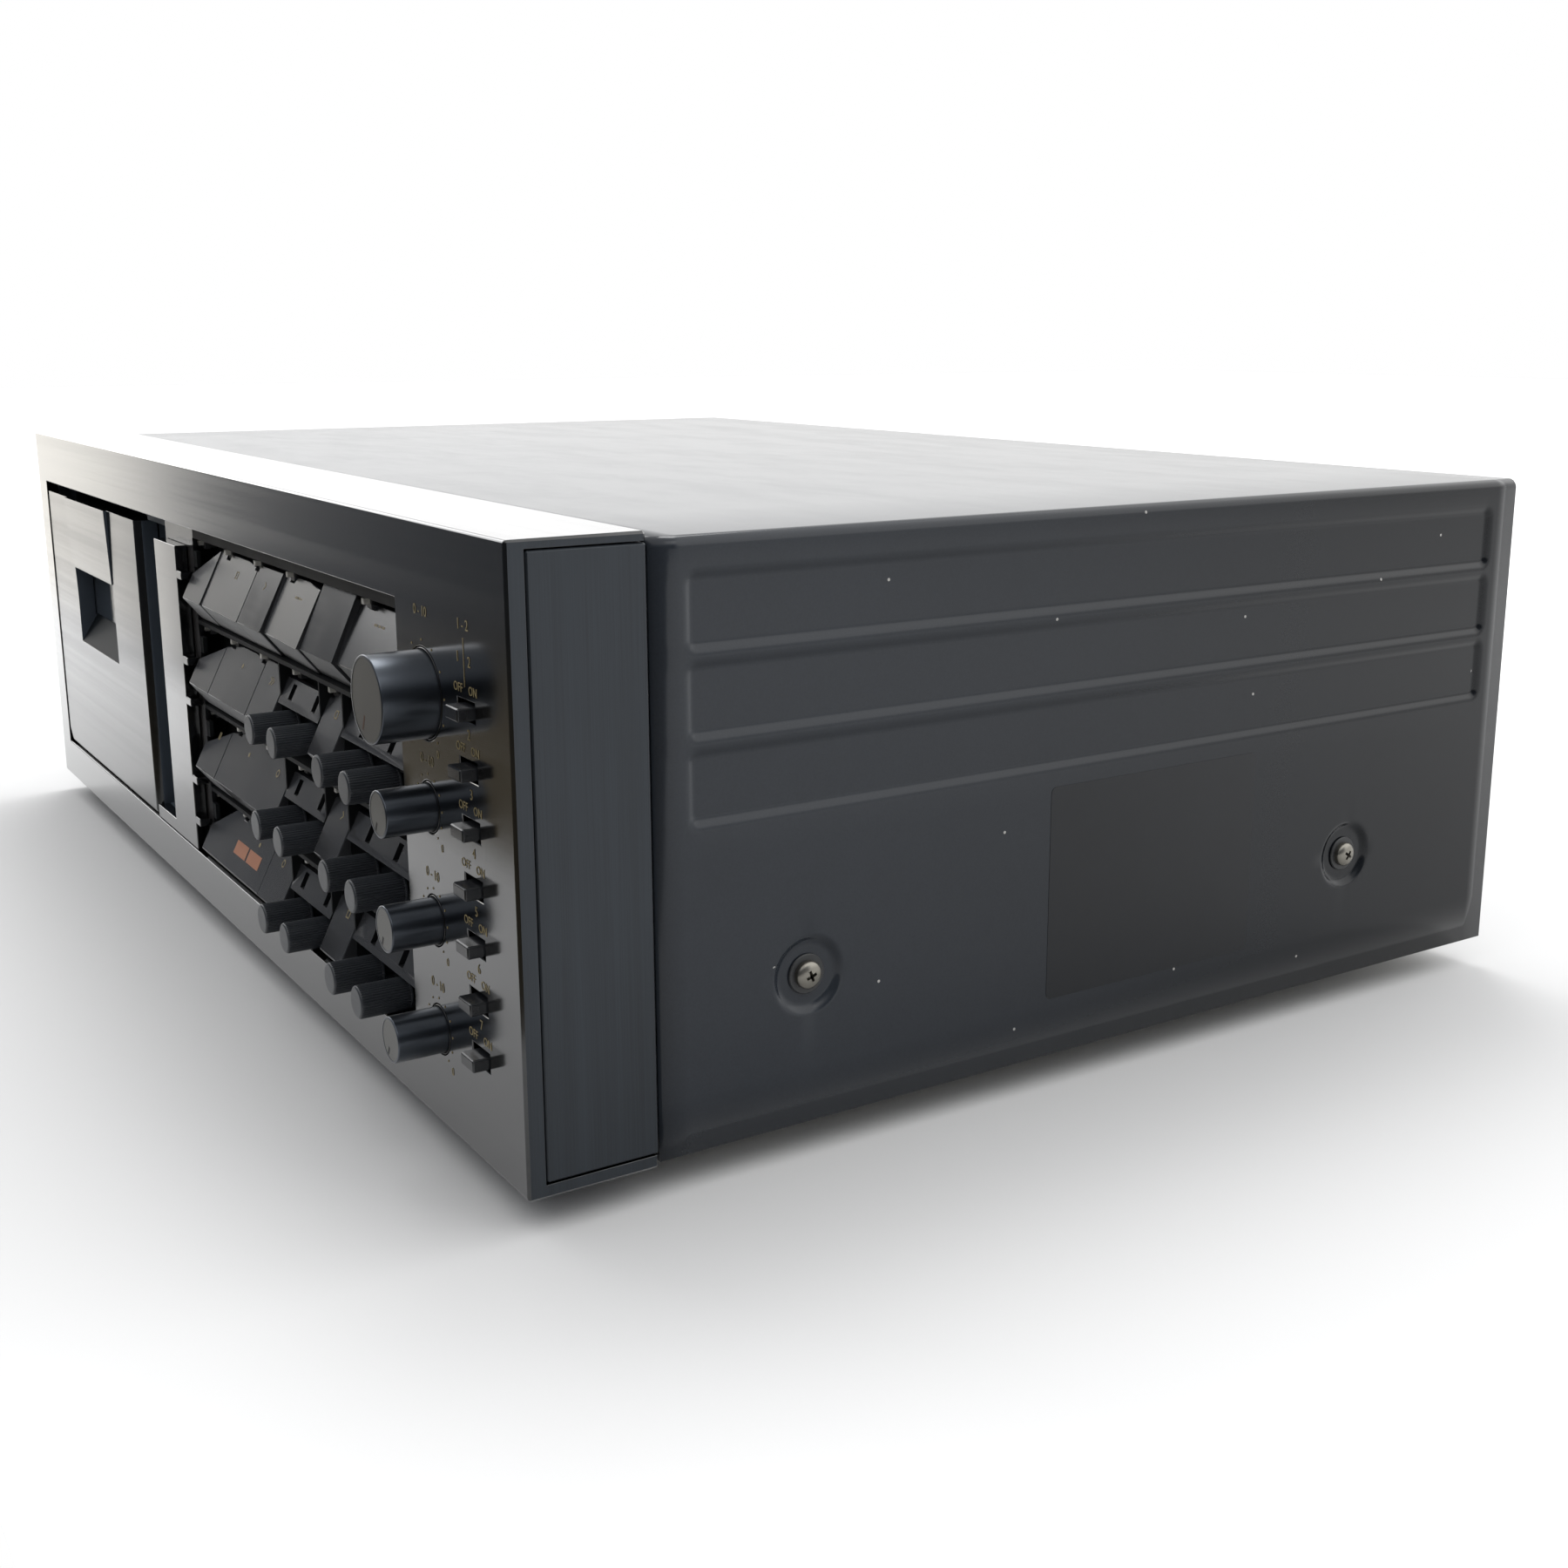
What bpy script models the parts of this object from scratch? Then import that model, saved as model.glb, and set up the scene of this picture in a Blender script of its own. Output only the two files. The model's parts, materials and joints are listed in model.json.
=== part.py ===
"""Front-loading cassette deck: one named object for each separate piece, in metres, +Z up.

The front face looks along -Y. The origin is the centre of the footprint, on the surface that the
rubber feet stand on. Local heights are measured from the lower edge of the front panel and local
depths from its front face; place() turns both into world coordinates.
"""
import math

import bmesh
import bpy
from mathutils import Matrix, Vector

# Front panel: a plate with a flange along its top and one along its bottom
panel_width = 0.450
panel_height = 0.135
flange_depth = 0.030
face_thickness = 0.004
top_flange_thickness = 0.002
bottom_flange_thickness = 0.003
panel_edge_round = 0.0006

# Shared clearances
seat_gap = 0.0003
cut_overrun = 0.002
turn_merge = 0.00001

# Window of the front panel
window_left_margin = 0.0140
window_right_margin = 0.0600
window_bottom = 0.0146
window_top_margin = 0.0180

# End caps beside the flanges
cap_thickness = 0.003
cap_edge_round = 0.0004

# Pressed steel cover
cover_length = 0.271
cover_sheet = 0.0012
cover_side_inset = 0.0015
cover_top_drop = 0.0017
cover_bottom_rise = 0.0005
cover_slot = 0.001
cover_bend_radius = 0.0025
bend_steps = 3

# Pressed fields in each side of the cover
field_count = 3
field_depth = 0.0012
field_slope = 0.0016
field_height = 0.0135
field_pitch = 0.0185
field_top_drop = 0.0155
field_front_margin = 0.0090
field_rear_margin = 0.0115

# Chassis tray
tray_sheet = 0.0012
tray_wall_height = 0.060
tray_lip_height = 0.015

# Rear panel with its sockets
rear_sheet = 0.0012
rear_recess = 0.0005
jack_radius = 0.0043
jack_bore_radius = 0.0017
jack_length = 0.0080
jack_bore_depth = 0.0060
jack_pitch_x = 0.018
jack_pitch_z = 0.020
jack_columns = 2
jack_rows = 2
jack_side_margin = 0.0735
jack_group_z = 0.075
remote_width = 0.022
remote_height = 0.012
remote_length = 0.006
remote_offset = 0.055
remote_z = 0.075

# Cord gland in the rear panel
gland_side_margin = 0.0535
gland_z = 0.040
gland_radius = 0.0085
gland_bore_radius = 0.0032
gland_length = 0.0060
gland_lip = 0.0015

# Rubber feet
foot_stand = 0.008
foot_radius = 0.017
foot_taper = 0.0015
foot_edge_round = 0.001
foot_side_inset = 0.050
foot_rear_inset = 0.035

# Cassette door, hinged along its lower edge
door_left_gap = 0.0008
door_left_land = 0.01435
door_right_land = 0.01765
door_top_gap = 0.0036
door_thickness = 0.007
door_front_gap = 0.0003
door_roll_radius = 0.002
door_roll_steps = 6
door_edge_radius = 0.003
door_edge_steps = 5
door_corner_cut = 0.006

# Raised wedge on the door and the recess for its window
wedge_left_frame = 0.0055
wedge_rise = 0.0011
wedge_overlap = 0.0100
view_width = 0.0587
view_top_margin = 0.0254
view_height = 0.0276
view_sill_rise = 0.0096
glass_thickness = 0.0012
glass_ledge = 0.0010

# Compact cassette and the carrier on the back of the door
cassette_width = 0.1004
cassette_height = 0.0638
cassette_depth = 0.0120
carrier_slack = 0.0006
carrier_wall = 0.0024
carrier_lip = 0.0060
carrier_lip_thickness = 0.0012
carrier_ledge = 0.0080
carrier_rise_share = 0.6844
hub_spacing = 0.0425
hub_height = 0.0344

# Cassette well behind the window
well_side_margin = 0.0030
well_wall = 0.0030
well_back = 0.0047
well_clearance = 0.0016
well_front_depth = 0.0036
channel_width = 0.0225
channel_depth = 0.0160
channel_top_margin = 0.0034

# Reel spindles
spindle_radius = 0.0030
spindle_fin = 0.0008
spindle_fin_width = 0.0012
spindle_fin_count = 3
spindle_base_radius = 0.0070
spindle_base_length = 0.0014
spindle_length = 0.0130
spindle_tip_taper = 0.0010

# Head block under the cassette
head_block_width = 0.046
head_block_height = 0.0100
head_block_depth = 0.0110
head_width = 0.0100
head_rise = 0.0050
head_spacing = 0.0150
head_block_rise = 0.0040

# Key bay: rows of ridged keys, their facets as shares of the distance between two rows
row_count = 4
top_ridge_margin = 0.0218
bottom_ridge_margin = 0.0026
ridge_to_top_share = 0.5846
facet_lean_share = 0.5
lower_facet_share = 0.2038
lower_facet_lean_share = 0.7925
key_skirt = 0.0016
key_back = 0.0016
key_gap = 0.0003
key_travel = 0.0015
key_stop_gap = 0.0006
key_edge_round = 0.0002
end_cut_rise_share = 0.46
end_cut_width = 0.0180
corner_cut_width = 0.0098
corner_cut_height = 0.0010
shoulder_width = 0.0140
shoulder_height = 0.0019
notch_gap = 0.0006
notch_wall = 0.0012
row_key_shares = (
    (0.0, 0.105, 0.313, 0.431, 0.602, 0.739, 1.0),
    (0.0, 0.115, 0.320, 0.431),
    (0.0, 0.112, 0.431),
    (0.0, 0.320, 0.431),
)
row_corner_cuts = ((1, 3), (1,), (), ())
shoulder_rows = (1, 2)
tall_keys = ((0, 4),)
selector_shares = (0.620, 0.709)

# Housing of the key bay
bay_shelf = 0.0012
bay_rim = 0.0045
bay_flange = 0.0012
bay_post_width = 0.0040
tab_reach = 0.0033
tab_foot_share = 0.592
tab_top_share = 0.908
rib_thickness = 0.0008
module_gap = 0.00095
module_plate = 0.0014
module_slot_width = 0.0030
module_slot_low_share = 0.254
module_slot_high_share = 0.851

# Lamp board with its square light guides
lamp_board_thickness = 0.0015
lamp_size = 0.0024
lamp_columns = 6
lamp_first_share = -0.0093
lamp_pitch_share = 0.1593
lamp_gap = 0.0010
lamp_plane = 0.0080

# Comb-edged strip between the door and the keys
strip_width = 0.0255
strip_thickness = 0.0036
strip_front_gap = 0.0004
strip_top_margin = 0.0070
strip_foot_top = 0.0190
comb_tooth = 0.0050
comb_gap = 0.0012
comb_bar = 0.0024
comb_bar_shares = (0.9218, 0.6836, 0.5682, 0.3436, 0.2227)

# Ribbed trim knobs
trim_radius_share = 0.1558
trim_rib_depth = 0.00022
trim_rib_count = 18
trim_reach = 0.0070
trim_length = 0.0130
trim_chamfer = 0.0005
trim_shaft_radius = 0.0018
trim_floor_gap = 0.00045
trim_shares = (0.4766, 0.5821, 0.7810, 0.8865)

# Level controls at the right
level_column_gap = 0.0010
master_radius = 0.0095
master_reach = 0.0126
master_height_share = 0.7281
level_radius = 0.0052
level_reach = 0.0115
level_height_shares = (0.5444, 0.3556, 0.1689)
level_hole_gap = 0.00065
level_chamfer = 0.0006
level_tail = 0.0030
level_shaft_radius = 0.0030
level_shaft_length = 0.0060
mark_width = 0.0007
mark_depth = 0.0003
mark_start_share = 0.45
mark_end_share = 0.92
mark_rest_angle = math.radians(215.0)

# Lever switches in the last column
lever_count = 7
lever_top_share = 0.7304
lever_pitch_share = 0.0919
lever_column_offset = 0.0230
lever_slot_width = 0.0092
lever_slot_height = 0.0043
lever_width = 0.0066
lever_height = 0.0028
lever_reach = 0.0037
lever_tail = 0.0060
lever_edge_round = 0.0003
lever_flange_width = 0.0140
lever_flange_height = 0.0070
lever_flange_thickness = 0.0012

# Mains transformer on the tray
transformer_width = 0.066
transformer_depth = 0.054
transformer_height = 0.058
transformer_side_gap = 0.0225
transformer_setback = 0.1690
coil_inset = 0.0080
coil_swell = 0.0080

# Facets of round pieces
round_steps = 40
small_round_steps = 24

# Places on the panel and in the case that follow from the sizes above
knob_front = max(master_reach, level_reach)
body_depth = flange_depth + cover_slot + cover_length
rear_panel_front = body_depth - rear_recess - rear_sheet
rear_face = rear_panel_front + rear_sheet
front_y = knob_front - (knob_front + rear_face + jack_length) / 2
panel_half = panel_width / 2
window_left = -panel_half + window_left_margin
window_right = panel_half - window_right_margin
window_top = panel_height - window_top_margin
cover_front = flange_depth + cover_slot
cover_half = panel_half - cover_side_inset
cover_top = panel_height - cover_top_drop
jack_group_x = -cover_half + jack_side_margin
remote_x = jack_group_x + remote_offset
gland_x = cover_half - gland_side_margin
tray_half = cover_half - cover_sheet - seat_gap
tray_base = bottom_flange_thickness + seat_gap
tray_front = face_thickness + seat_gap
tray_rear = rear_panel_front - seat_gap
behind_face = face_thickness + seat_gap

# Places of the door and the cassette behind it
carrier_inner = cassette_width / 2 + carrier_slack
carrier_half = carrier_inner + carrier_wall
door_left = window_left + door_left_gap
cassette_x = door_left + door_left_land + carrier_half
door_right = cassette_x + carrier_half + door_right_land
door_top = window_top - door_top_gap
door_low = window_bottom + seat_gap
door_hinge_y = door_front_gap + door_roll_radius
door_hinge_z = door_low + door_roll_radius
door_rear = door_front_gap + door_thickness
view_left = cassette_x + glass_ledge - view_width / 2
view_right = view_left + view_width
view_top = door_top - view_top_margin
view_bottom = view_top - view_height
wedge_low = view_top - wedge_overlap
pocket_low = window_bottom + well_wall
carrier_base = pocket_low + carrier_rise_share * (door_top - pocket_low - cassette_height)
rail_rear = door_rear + cassette_depth + 2 * carrier_slack + carrier_lip_thickness
pocket_rear = rail_rear + well_clearance
well_rear = pocket_rear + well_back
spindle_z = carrier_base + seat_gap + hub_height

# Places of the strip, the rows of keys and the controls
bay_block_left = door_right + seat_gap + channel_width
strip_left = bay_block_left + seat_gap
strip_edge = strip_left + strip_width
strip_top = window_top - strip_top_margin
channel_top = window_top - channel_top_margin
bay_left = strip_edge + comb_tooth + comb_gap
bay_width = window_right - bay_left
top_ridge_height = window_top - top_ridge_margin
row_pitch = (top_ridge_height - window_bottom - bottom_ridge_margin) / (row_count - 1)
ridge_to_top = row_pitch * ridge_to_top_share
facet_run = ridge_to_top * facet_lean_share
lower_facet_drop = row_pitch * lower_facet_share
lower_facet_run = lower_facet_drop * lower_facet_lean_share
end_cut_drop = ridge_to_top * (1 - end_cut_rise_share)
shelf_low = lower_facet_drop + key_skirt + seat_gap
shelf_high = row_pitch - shelf_low - bay_shelf
key_depth = facet_run + key_back
bay_rear = key_depth + key_travel + key_stop_gap
lamp_front = bay_rear + seat_gap
lamp_rise = shelf_high - lamp_gap - lamp_size / 2
notch_floor = lamp_rise - lamp_size / 2 - notch_gap
trim_radius = row_pitch * trim_radius_share
trim_rise = trim_radius + trim_floor_gap - bottom_ridge_margin
module_drop = trim_rise + trim_radius + module_gap
module_high = lamp_rise - lamp_size / 2 - 2 * seat_gap
module_slot_low = module_drop + module_slot_low_share * (module_high - module_drop)
module_slot_high = module_drop + module_slot_high_share * (module_high - module_drop)
level_column_x = window_right + bay_rim + level_column_gap + master_radius
lever_slot_x = level_column_x + lever_column_offset
master_height = panel_height * master_height_share
lever_top_height = panel_height * lever_top_share
lever_pitch = panel_height * lever_pitch_share
transformer_x = tray_half - tray_sheet - transformer_side_gap - transformer_width / 2
transformer_y = cover_front + transformer_setback


def place(x, y, z):
    """World position of a point given by its depth behind the face and height on the panel."""
    return Vector((x, front_y + y, foot_stand + z))


def collection(name):
    group = bpy.data.collections.new(name)
    bpy.context.scene.collection.children.link(group)
    return group


def clear_scene():
    for item in list(bpy.data.objects):
        bpy.data.objects.remove(item, do_unlink=True)


def material(name, colour, roughness, metallic):
    made = bpy.data.materials.new(name)
    made.use_nodes = True
    shader = made.node_tree.nodes["Principled BSDF"]
    shader.inputs["Base Color"].default_value = (*colour, 1.0)
    shader.inputs["Roughness"].default_value = roughness
    shader.inputs["Metallic"].default_value = metallic
    made.diffuse_color = (*colour, 1.0)
    return made


def finish(name, shape, look, spot, group=None):
    """Make an object of a bmesh and put it in the deck's collection."""
    bmesh.ops.recalc_face_normals(shape, faces=shape.faces[:])
    if shape.calc_volume(signed=True) < 0:
        bmesh.ops.reverse_faces(shape, faces=shape.faces[:])
    mesh = bpy.data.meshes.new(name)
    shape.to_mesh(mesh)
    shape.free()
    item = bpy.data.objects.new(name, mesh)
    item.location = spot
    (group or deck).objects.link(item)
    if look is not None:
        mesh.materials.append(look)
    return item


def tool(name, shape, spot):
    """A cutter or a filler: kept out of the picture."""
    item = finish(name, shape, None, spot, cutters)
    item.hide_render = True
    item.display_type = "WIRE"
    return item


def boolean(item, cutter, operation="DIFFERENCE"):
    step = item.modifiers.new(cutter.name, "BOOLEAN")
    step.operation = operation
    step.solver = "EXACT"
    step.object = cutter
    return step


def bevel(item, width, segments=1, angle=math.radians(40.0)):
    step = item.modifiers.new("edge", "BEVEL")
    step.width = width
    step.segments = segments
    step.limit_method = "ANGLE"
    step.angle_limit = angle
    return step


def add_block(shape, low, high):
    """Add a box between two corners to a bmesh, in its own coordinates."""
    low = Vector(low)
    high = Vector(high)
    matrix = Matrix.Translation((low + high) / 2) @ Matrix.Diagonal((*(high - low), 1.0))
    bmesh.ops.create_cube(shape, size=1.0, matrix=matrix)


def block_mesh(*boxes):
    shape = bmesh.new()
    for low, high in boxes:
        add_block(shape, low, high)
    return shape


def rod_mesh(radius, low, high, steps=round_steps):
    """A closed cylinder along Y between two depths."""
    shape = bmesh.new()
    matrix = Matrix.Translation((0, (low + high) / 2, 0)) @ Matrix.Rotation(math.pi / 2, 4, "X")
    bmesh.ops.create_cone(
        shape, cap_ends=True, segments=steps, radius1=radius, radius2=radius, depth=high - low,
        matrix=matrix,
    )
    return shape


def slice_off(shape, point, normal):
    """Remove what lies beyond a plane and close the cut."""
    every = shape.verts[:] + shape.edges[:] + shape.faces[:]
    done = bmesh.ops.bisect_plane(
        shape, geom=every, plane_co=point, plane_no=normal, clear_outer=True,
    )
    rim = [part for part in done["geom_cut"] if isinstance(part, bmesh.types.BMEdge)]
    bmesh.ops.contextual_create(shape, geom=rim)


def turned(name, profile, look, spot, steps=round_steps, group=None):
    """Turn a profile of (radius, height) pairs, top to bottom, about an axis along -Y."""
    shape = bmesh.new()
    dots = [shape.verts.new((radius, 0, height)) for radius, height in profile]
    for first, second in zip(dots, dots[1:]):
        shape.edges.new((first, second))
    mesh = bpy.data.meshes.new(name)
    shape.to_mesh(mesh)
    shape.free()
    item = bpy.data.objects.new(name, mesh)
    item.location = spot
    (group or deck).objects.link(item)
    if look is not None:
        mesh.materials.append(look)
    screw = item.modifiers.new("turn", "SCREW")
    screw.axis = "Z"
    screw.steps = steps
    screw.render_steps = steps
    screw.use_merge_vertices = True
    screw.merge_threshold = turn_merge
    screw.use_smooth_shade = True
    return item


def round_shading(item):
    """Even out the shading of a turned piece, so that its flat ends stay flat."""
    item.modifiers.new("shading", "WEIGHTED_NORMAL")
    return item


def face_forward(item):
    """Lay a turned piece down so that its top looks out of the front."""
    item.rotation_euler = (math.pi / 2, 0, 0)
    return item


def ridge_height(row):
    return top_ridge_height - row * row_pitch


def share_x(share):
    return bay_left + share * bay_width


clear_scene()
deck = collection("cassette_deck")
cutters = collection("cutters")

anodised = material("anodised_panel", (0.045, 0.048, 0.052), 0.34, 0.85)
cap_metal = material("anodised_cap", (0.036, 0.041, 0.048), 0.38, 0.85)
cover_paint = material("cover_paint", (0.042, 0.045, 0.048), 0.50, 0.10)
steel = material("plated_steel", (0.52, 0.50, 0.44), 0.38, 0.90)
rear_paint = material("rear_paint", (0.050, 0.050, 0.052), 0.55, 0.20)
rubber = material("foot_rubber", (0.018, 0.018, 0.019), 0.80, 0.0)
housing_black = material("housing_black", (0.020, 0.021, 0.022), 0.55, 0.0)
key_plastic = material("key_plastic", (0.062, 0.064, 0.067), 0.42, 0.0)
strip_metal = material("strip_metal", (0.060, 0.063, 0.067), 0.30, 0.80)
door_metal = material("door_metal", (0.052, 0.055, 0.059), 0.32, 0.80)
window_glass = material("window_glass", (0.030, 0.032, 0.034), 0.08, 0.0)
lamp_plastic = material("lamp_plastic", (0.640, 0.600, 0.500), 0.45, 0.0)
knob_metal = material("knob_metal", (0.030, 0.034, 0.042), 0.28, 0.80)
trim_plastic = material("trim_plastic", (0.022, 0.023, 0.025), 0.40, 0.0)
lever_plastic = material("lever_plastic", (0.030, 0.031, 0.034), 0.35, 0.0)
spindle_plastic = material("spindle_plastic", (0.240, 0.240, 0.230), 0.40, 0.0)
head_metal = material("head_metal", (0.450, 0.440, 0.410), 0.30, 0.90)
core_steel = material("transformer_core", (0.160, 0.150, 0.140), 0.55, 0.60)

# Front panel: one block hollowed from behind, so that the plate and both flanges stay in one piece
panel = finish(
    "front_panel",
    block_mesh(((-panel_half, 0, 0), (panel_half, flange_depth, panel_height))),
    anodised,
    place(0, 0, 0),
)
bevel(panel, panel_edge_round)
hollow = tool(
    "panel_hollow",
    block_mesh((
        (-panel_half - cut_overrun, face_thickness, bottom_flange_thickness),
        (panel_half + cut_overrun, flange_depth + cut_overrun, panel_height - top_flange_thickness),
    )),
    place(0, 0, 0),
)
boolean(panel, hollow)
opening = tool(
    "panel_window",
    block_mesh((
        (window_left, -cut_overrun, window_bottom),
        (window_right, face_thickness + cut_overrun, window_top),
    )),
    place(0, 0, 0),
)
boolean(panel, opening)


def lever_height_at(index):
    return lever_top_height - index * lever_pitch


slot_boxes = []
for index in range(lever_count):
    middle = lever_height_at(index)
    slot_boxes.append((
        (lever_slot_x - lever_slot_width / 2, -cut_overrun, middle - lever_slot_height / 2),
        (lever_slot_x + lever_slot_width / 2, face_thickness + cut_overrun, middle + lever_slot_height / 2),
    ))
boolean(panel, tool("lever_slots", block_mesh(*slot_boxes), place(0, 0, 0)))

level_places = [("master", master_radius, master_reach, master_height)]
for label, share in zip(("left", "right", "output"), level_height_shares):
    level_places.append((label, level_radius, level_reach, panel_height * share))
for label, radius, reach, height in level_places:
    hole = rod_mesh(radius + level_hole_gap, -cut_overrun, face_thickness + cut_overrun)
    boolean(panel, tool(label + "_hole", hole, place(level_column_x, 0, height)))

# End caps close the ends of the flanges
for side, label in ((-1, "left"), (1, "right")):
    outer = side * panel_half
    inner = side * (panel_half - cap_thickness)
    cap = finish(
        "side_cap_" + label,
        block_mesh((
            (min(outer, inner), behind_face, tray_base),
            (max(outer, inner), flange_depth, panel_height - top_flange_thickness - seat_gap),
        )),
        cap_metal,
        place(0, 0, 0),
    )
    bevel(cap, cap_edge_round)


def cover_section():
    """Outline of the cover across its width: (x, height, whether it belongs to a side)."""
    lines = [cover_bottom_rise]
    for index in reversed(range(field_count)):
        middle = cover_top - field_top_drop - index * field_pitch
        low = middle - field_height / 2
        high = middle + field_height / 2
        lines += [low, low + field_slope, high - field_slope, high]
    side = [(cover_half, height) for height in lines]
    for step in range(bend_steps + 1):
        turn = math.pi / 2 * step / bend_steps
        side.append((
            cover_half - cover_bend_radius + cover_bend_radius * math.cos(turn),
            cover_top - cover_bend_radius + cover_bend_radius * math.sin(turn),
        ))
    return side + [(-x, height) for x, height in reversed(side)]


def field_push(depth, height):
    """How far a point of the side is pressed in: full inside each field, none outside."""
    front = field_front_margin + field_slope
    rear = cover_length - field_rear_margin - field_slope
    slack = field_slope / 2
    if depth < front - slack or depth > rear + slack:
        return 0
    for index in range(field_count):
        middle = cover_top - field_top_drop - index * field_pitch
        if abs(height - middle) < field_height / 2 - slack:
            return field_depth
    return 0


# Cover: a grid bent round the section, with its fields pressed in, then given its thickness
section = cover_section()
stations = (
    0,
    field_front_margin,
    field_front_margin + field_slope,
    cover_length - field_rear_margin - field_slope,
    cover_length - field_rear_margin,
    cover_length,
)
cover_shape = bmesh.new()
grid = bmesh.ops.create_grid(
    cover_shape, x_segments=len(section) - 1, y_segments=len(stations) - 1, size=cover_half,
)
for index, corner in enumerate(grid["verts"]):
    station, point = divmod(index, len(section))
    depth = stations[station]
    x, height = section[point]
    push = field_push(depth, height) if abs(x) == cover_half else 0
    corner.co = (x - math.copysign(push, x), depth, height)
cover = finish("top_cover", cover_shape, cover_paint, place(0, cover_front, 0))
thick = cover.modifiers.new("sheet", "SOLIDIFY")
thick.thickness = cover_sheet
thick.offset = -1
thick.use_even_offset = True

# Chassis tray: a base that reaches over the lower flange, two side walls and low end lips
tray = finish(
    "chassis_tray",
    block_mesh(
        ((-tray_half, tray_front, tray_base), (tray_half, tray_rear, tray_wall_height)),
    ),
    steel,
    place(0, 0, 0),
)
tray_cut = block_mesh(
    (
        (-tray_half + tray_sheet, cover_front + tray_sheet, tray_base + tray_sheet),
        (tray_half - tray_sheet, tray_rear - tray_sheet, tray_wall_height + cut_overrun),
    ),
)
boolean(tray, tool("tray_hollow", tray_cut, place(0, 0, 0)))
front_cut = block_mesh((
    (-tray_half - cut_overrun, tray_front - cut_overrun, tray_base + tray_sheet),
    (tray_half + cut_overrun, cover_front, tray_wall_height + cut_overrun),
))
boolean(tray, tool("tray_front_step", front_cut, place(0, 0, 0)))
lip_cut = block_mesh((
    (-tray_half + tray_sheet, cover_front - cut_overrun, tray_lip_height),
    (tray_half - tray_sheet, tray_rear + cut_overrun, tray_wall_height + cut_overrun),
))
boolean(tray, tool("tray_lip_step", lip_cut, place(0, 0, 0)))
notch_half = panel_half - cap_thickness - seat_gap
notch = block_mesh(
    (
        (notch_half, tray_front - cut_overrun, tray_base - cut_overrun),
        (panel_half + cut_overrun, cover_front, tray_base + tray_sheet + cut_overrun),
    ),
    (
        (-panel_half - cut_overrun, tray_front - cut_overrun, tray_base - cut_overrun),
        (-notch_half, cover_front, tray_base + tray_sheet + cut_overrun),
    ),
)
boolean(tray, tool("tray_cap_notch", notch, place(0, 0, 0)))

# Rear panel with round sockets and a remote socket drawn out of it
rear_high = cover_top - cover_sheet - seat_gap
rear_shape = block_mesh((
    (-tray_half, rear_panel_front, tray_base),
    (tray_half, rear_face, rear_high),
))
bend_inside = cover_bend_radius - cover_sheet
for side in (-1, 1):
    corner = Vector((side * (tray_half - bend_inside), 0, rear_high))
    slice_off(rear_shape, corner, Vector((side, 0, 1)).normalized())
rear = finish("rear_panel", rear_shape, rear_paint, place(0, 0, 0))
for column in range(jack_columns):
    for level in range(jack_rows):
        spot = place(
            jack_group_x + (column - (jack_columns - 1) / 2) * jack_pitch_x,
            0,
            jack_group_z + (level - (jack_rows - 1) / 2) * jack_pitch_z,
        )
        tag = "jack_%d_%d" % (column, level)
        sleeve = rod_mesh(jack_radius, rear_panel_front, rear_face + jack_length, small_round_steps)
        boolean(rear, tool(tag + "_sleeve", sleeve, spot), "UNION")
        bore_low = rear_face + jack_length - jack_bore_depth
        bore_high = rear_face + jack_length + cut_overrun
        bore = rod_mesh(jack_bore_radius, bore_low, bore_high, small_round_steps)
        boolean(rear, tool(tag + "_bore", bore, spot))
remote = block_mesh((
    (remote_x - remote_width / 2, rear_panel_front, remote_z - remote_height / 2),
    (remote_x + remote_width / 2, rear_face + remote_length, remote_z + remote_height / 2),
))
boolean(rear, tool("remote_shell", remote, place(0, 0, 0)), "UNION")
remote_bore = block_mesh((
    (
        remote_x - remote_width / 2 + rear_sheet,
        rear_face,
        remote_z - remote_height / 2 + rear_sheet,
    ),
    (
        remote_x + remote_width / 2 - rear_sheet,
        rear_face + remote_length + cut_overrun,
        remote_z + remote_height / 2 - rear_sheet,
    ),
))
boolean(rear, tool("remote_mouth", remote_bore, place(0, 0, 0)))

# Cord gland: a stepped bush with a through bore, turned about an axis along Y
gland = turned(
    "cord_gland",
    (
        (gland_bore_radius, 0),
        (gland_radius - gland_lip, 0),
        (gland_radius, -gland_lip),
        (gland_radius, -gland_length),
        (gland_bore_radius, -gland_length),
        (gland_bore_radius, 0),
    ),
    housing_black,
    place(gland_x, rear_face + seat_gap + gland_length, gland_z),
    small_round_steps,
)
gland.rotation_euler = (-math.pi / 2, 0, 0)
round_shading(gland)

# Feet: tapered rubber pads under the tray
foot_top = tray_base - seat_gap
foot_rows = (
    ("front", cover_front + foot_radius),
    ("rear", body_depth - foot_rear_inset),
)
for end, depth in foot_rows:
    for side, label in ((-1, "left"), (1, "right")):
        foot = turned(
            "foot_%s_%s" % (end, label),
            (
                (0, foot_top + foot_stand),
                (foot_radius, foot_top + foot_stand),
                (foot_radius - foot_taper, foot_edge_round),
                (foot_radius - foot_taper - foot_edge_round, 0),
                (0, 0),
            ),
            rubber,
            place(side * (panel_half - foot_side_inset), depth, -foot_stand),
        )
        round_shading(foot)

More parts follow.
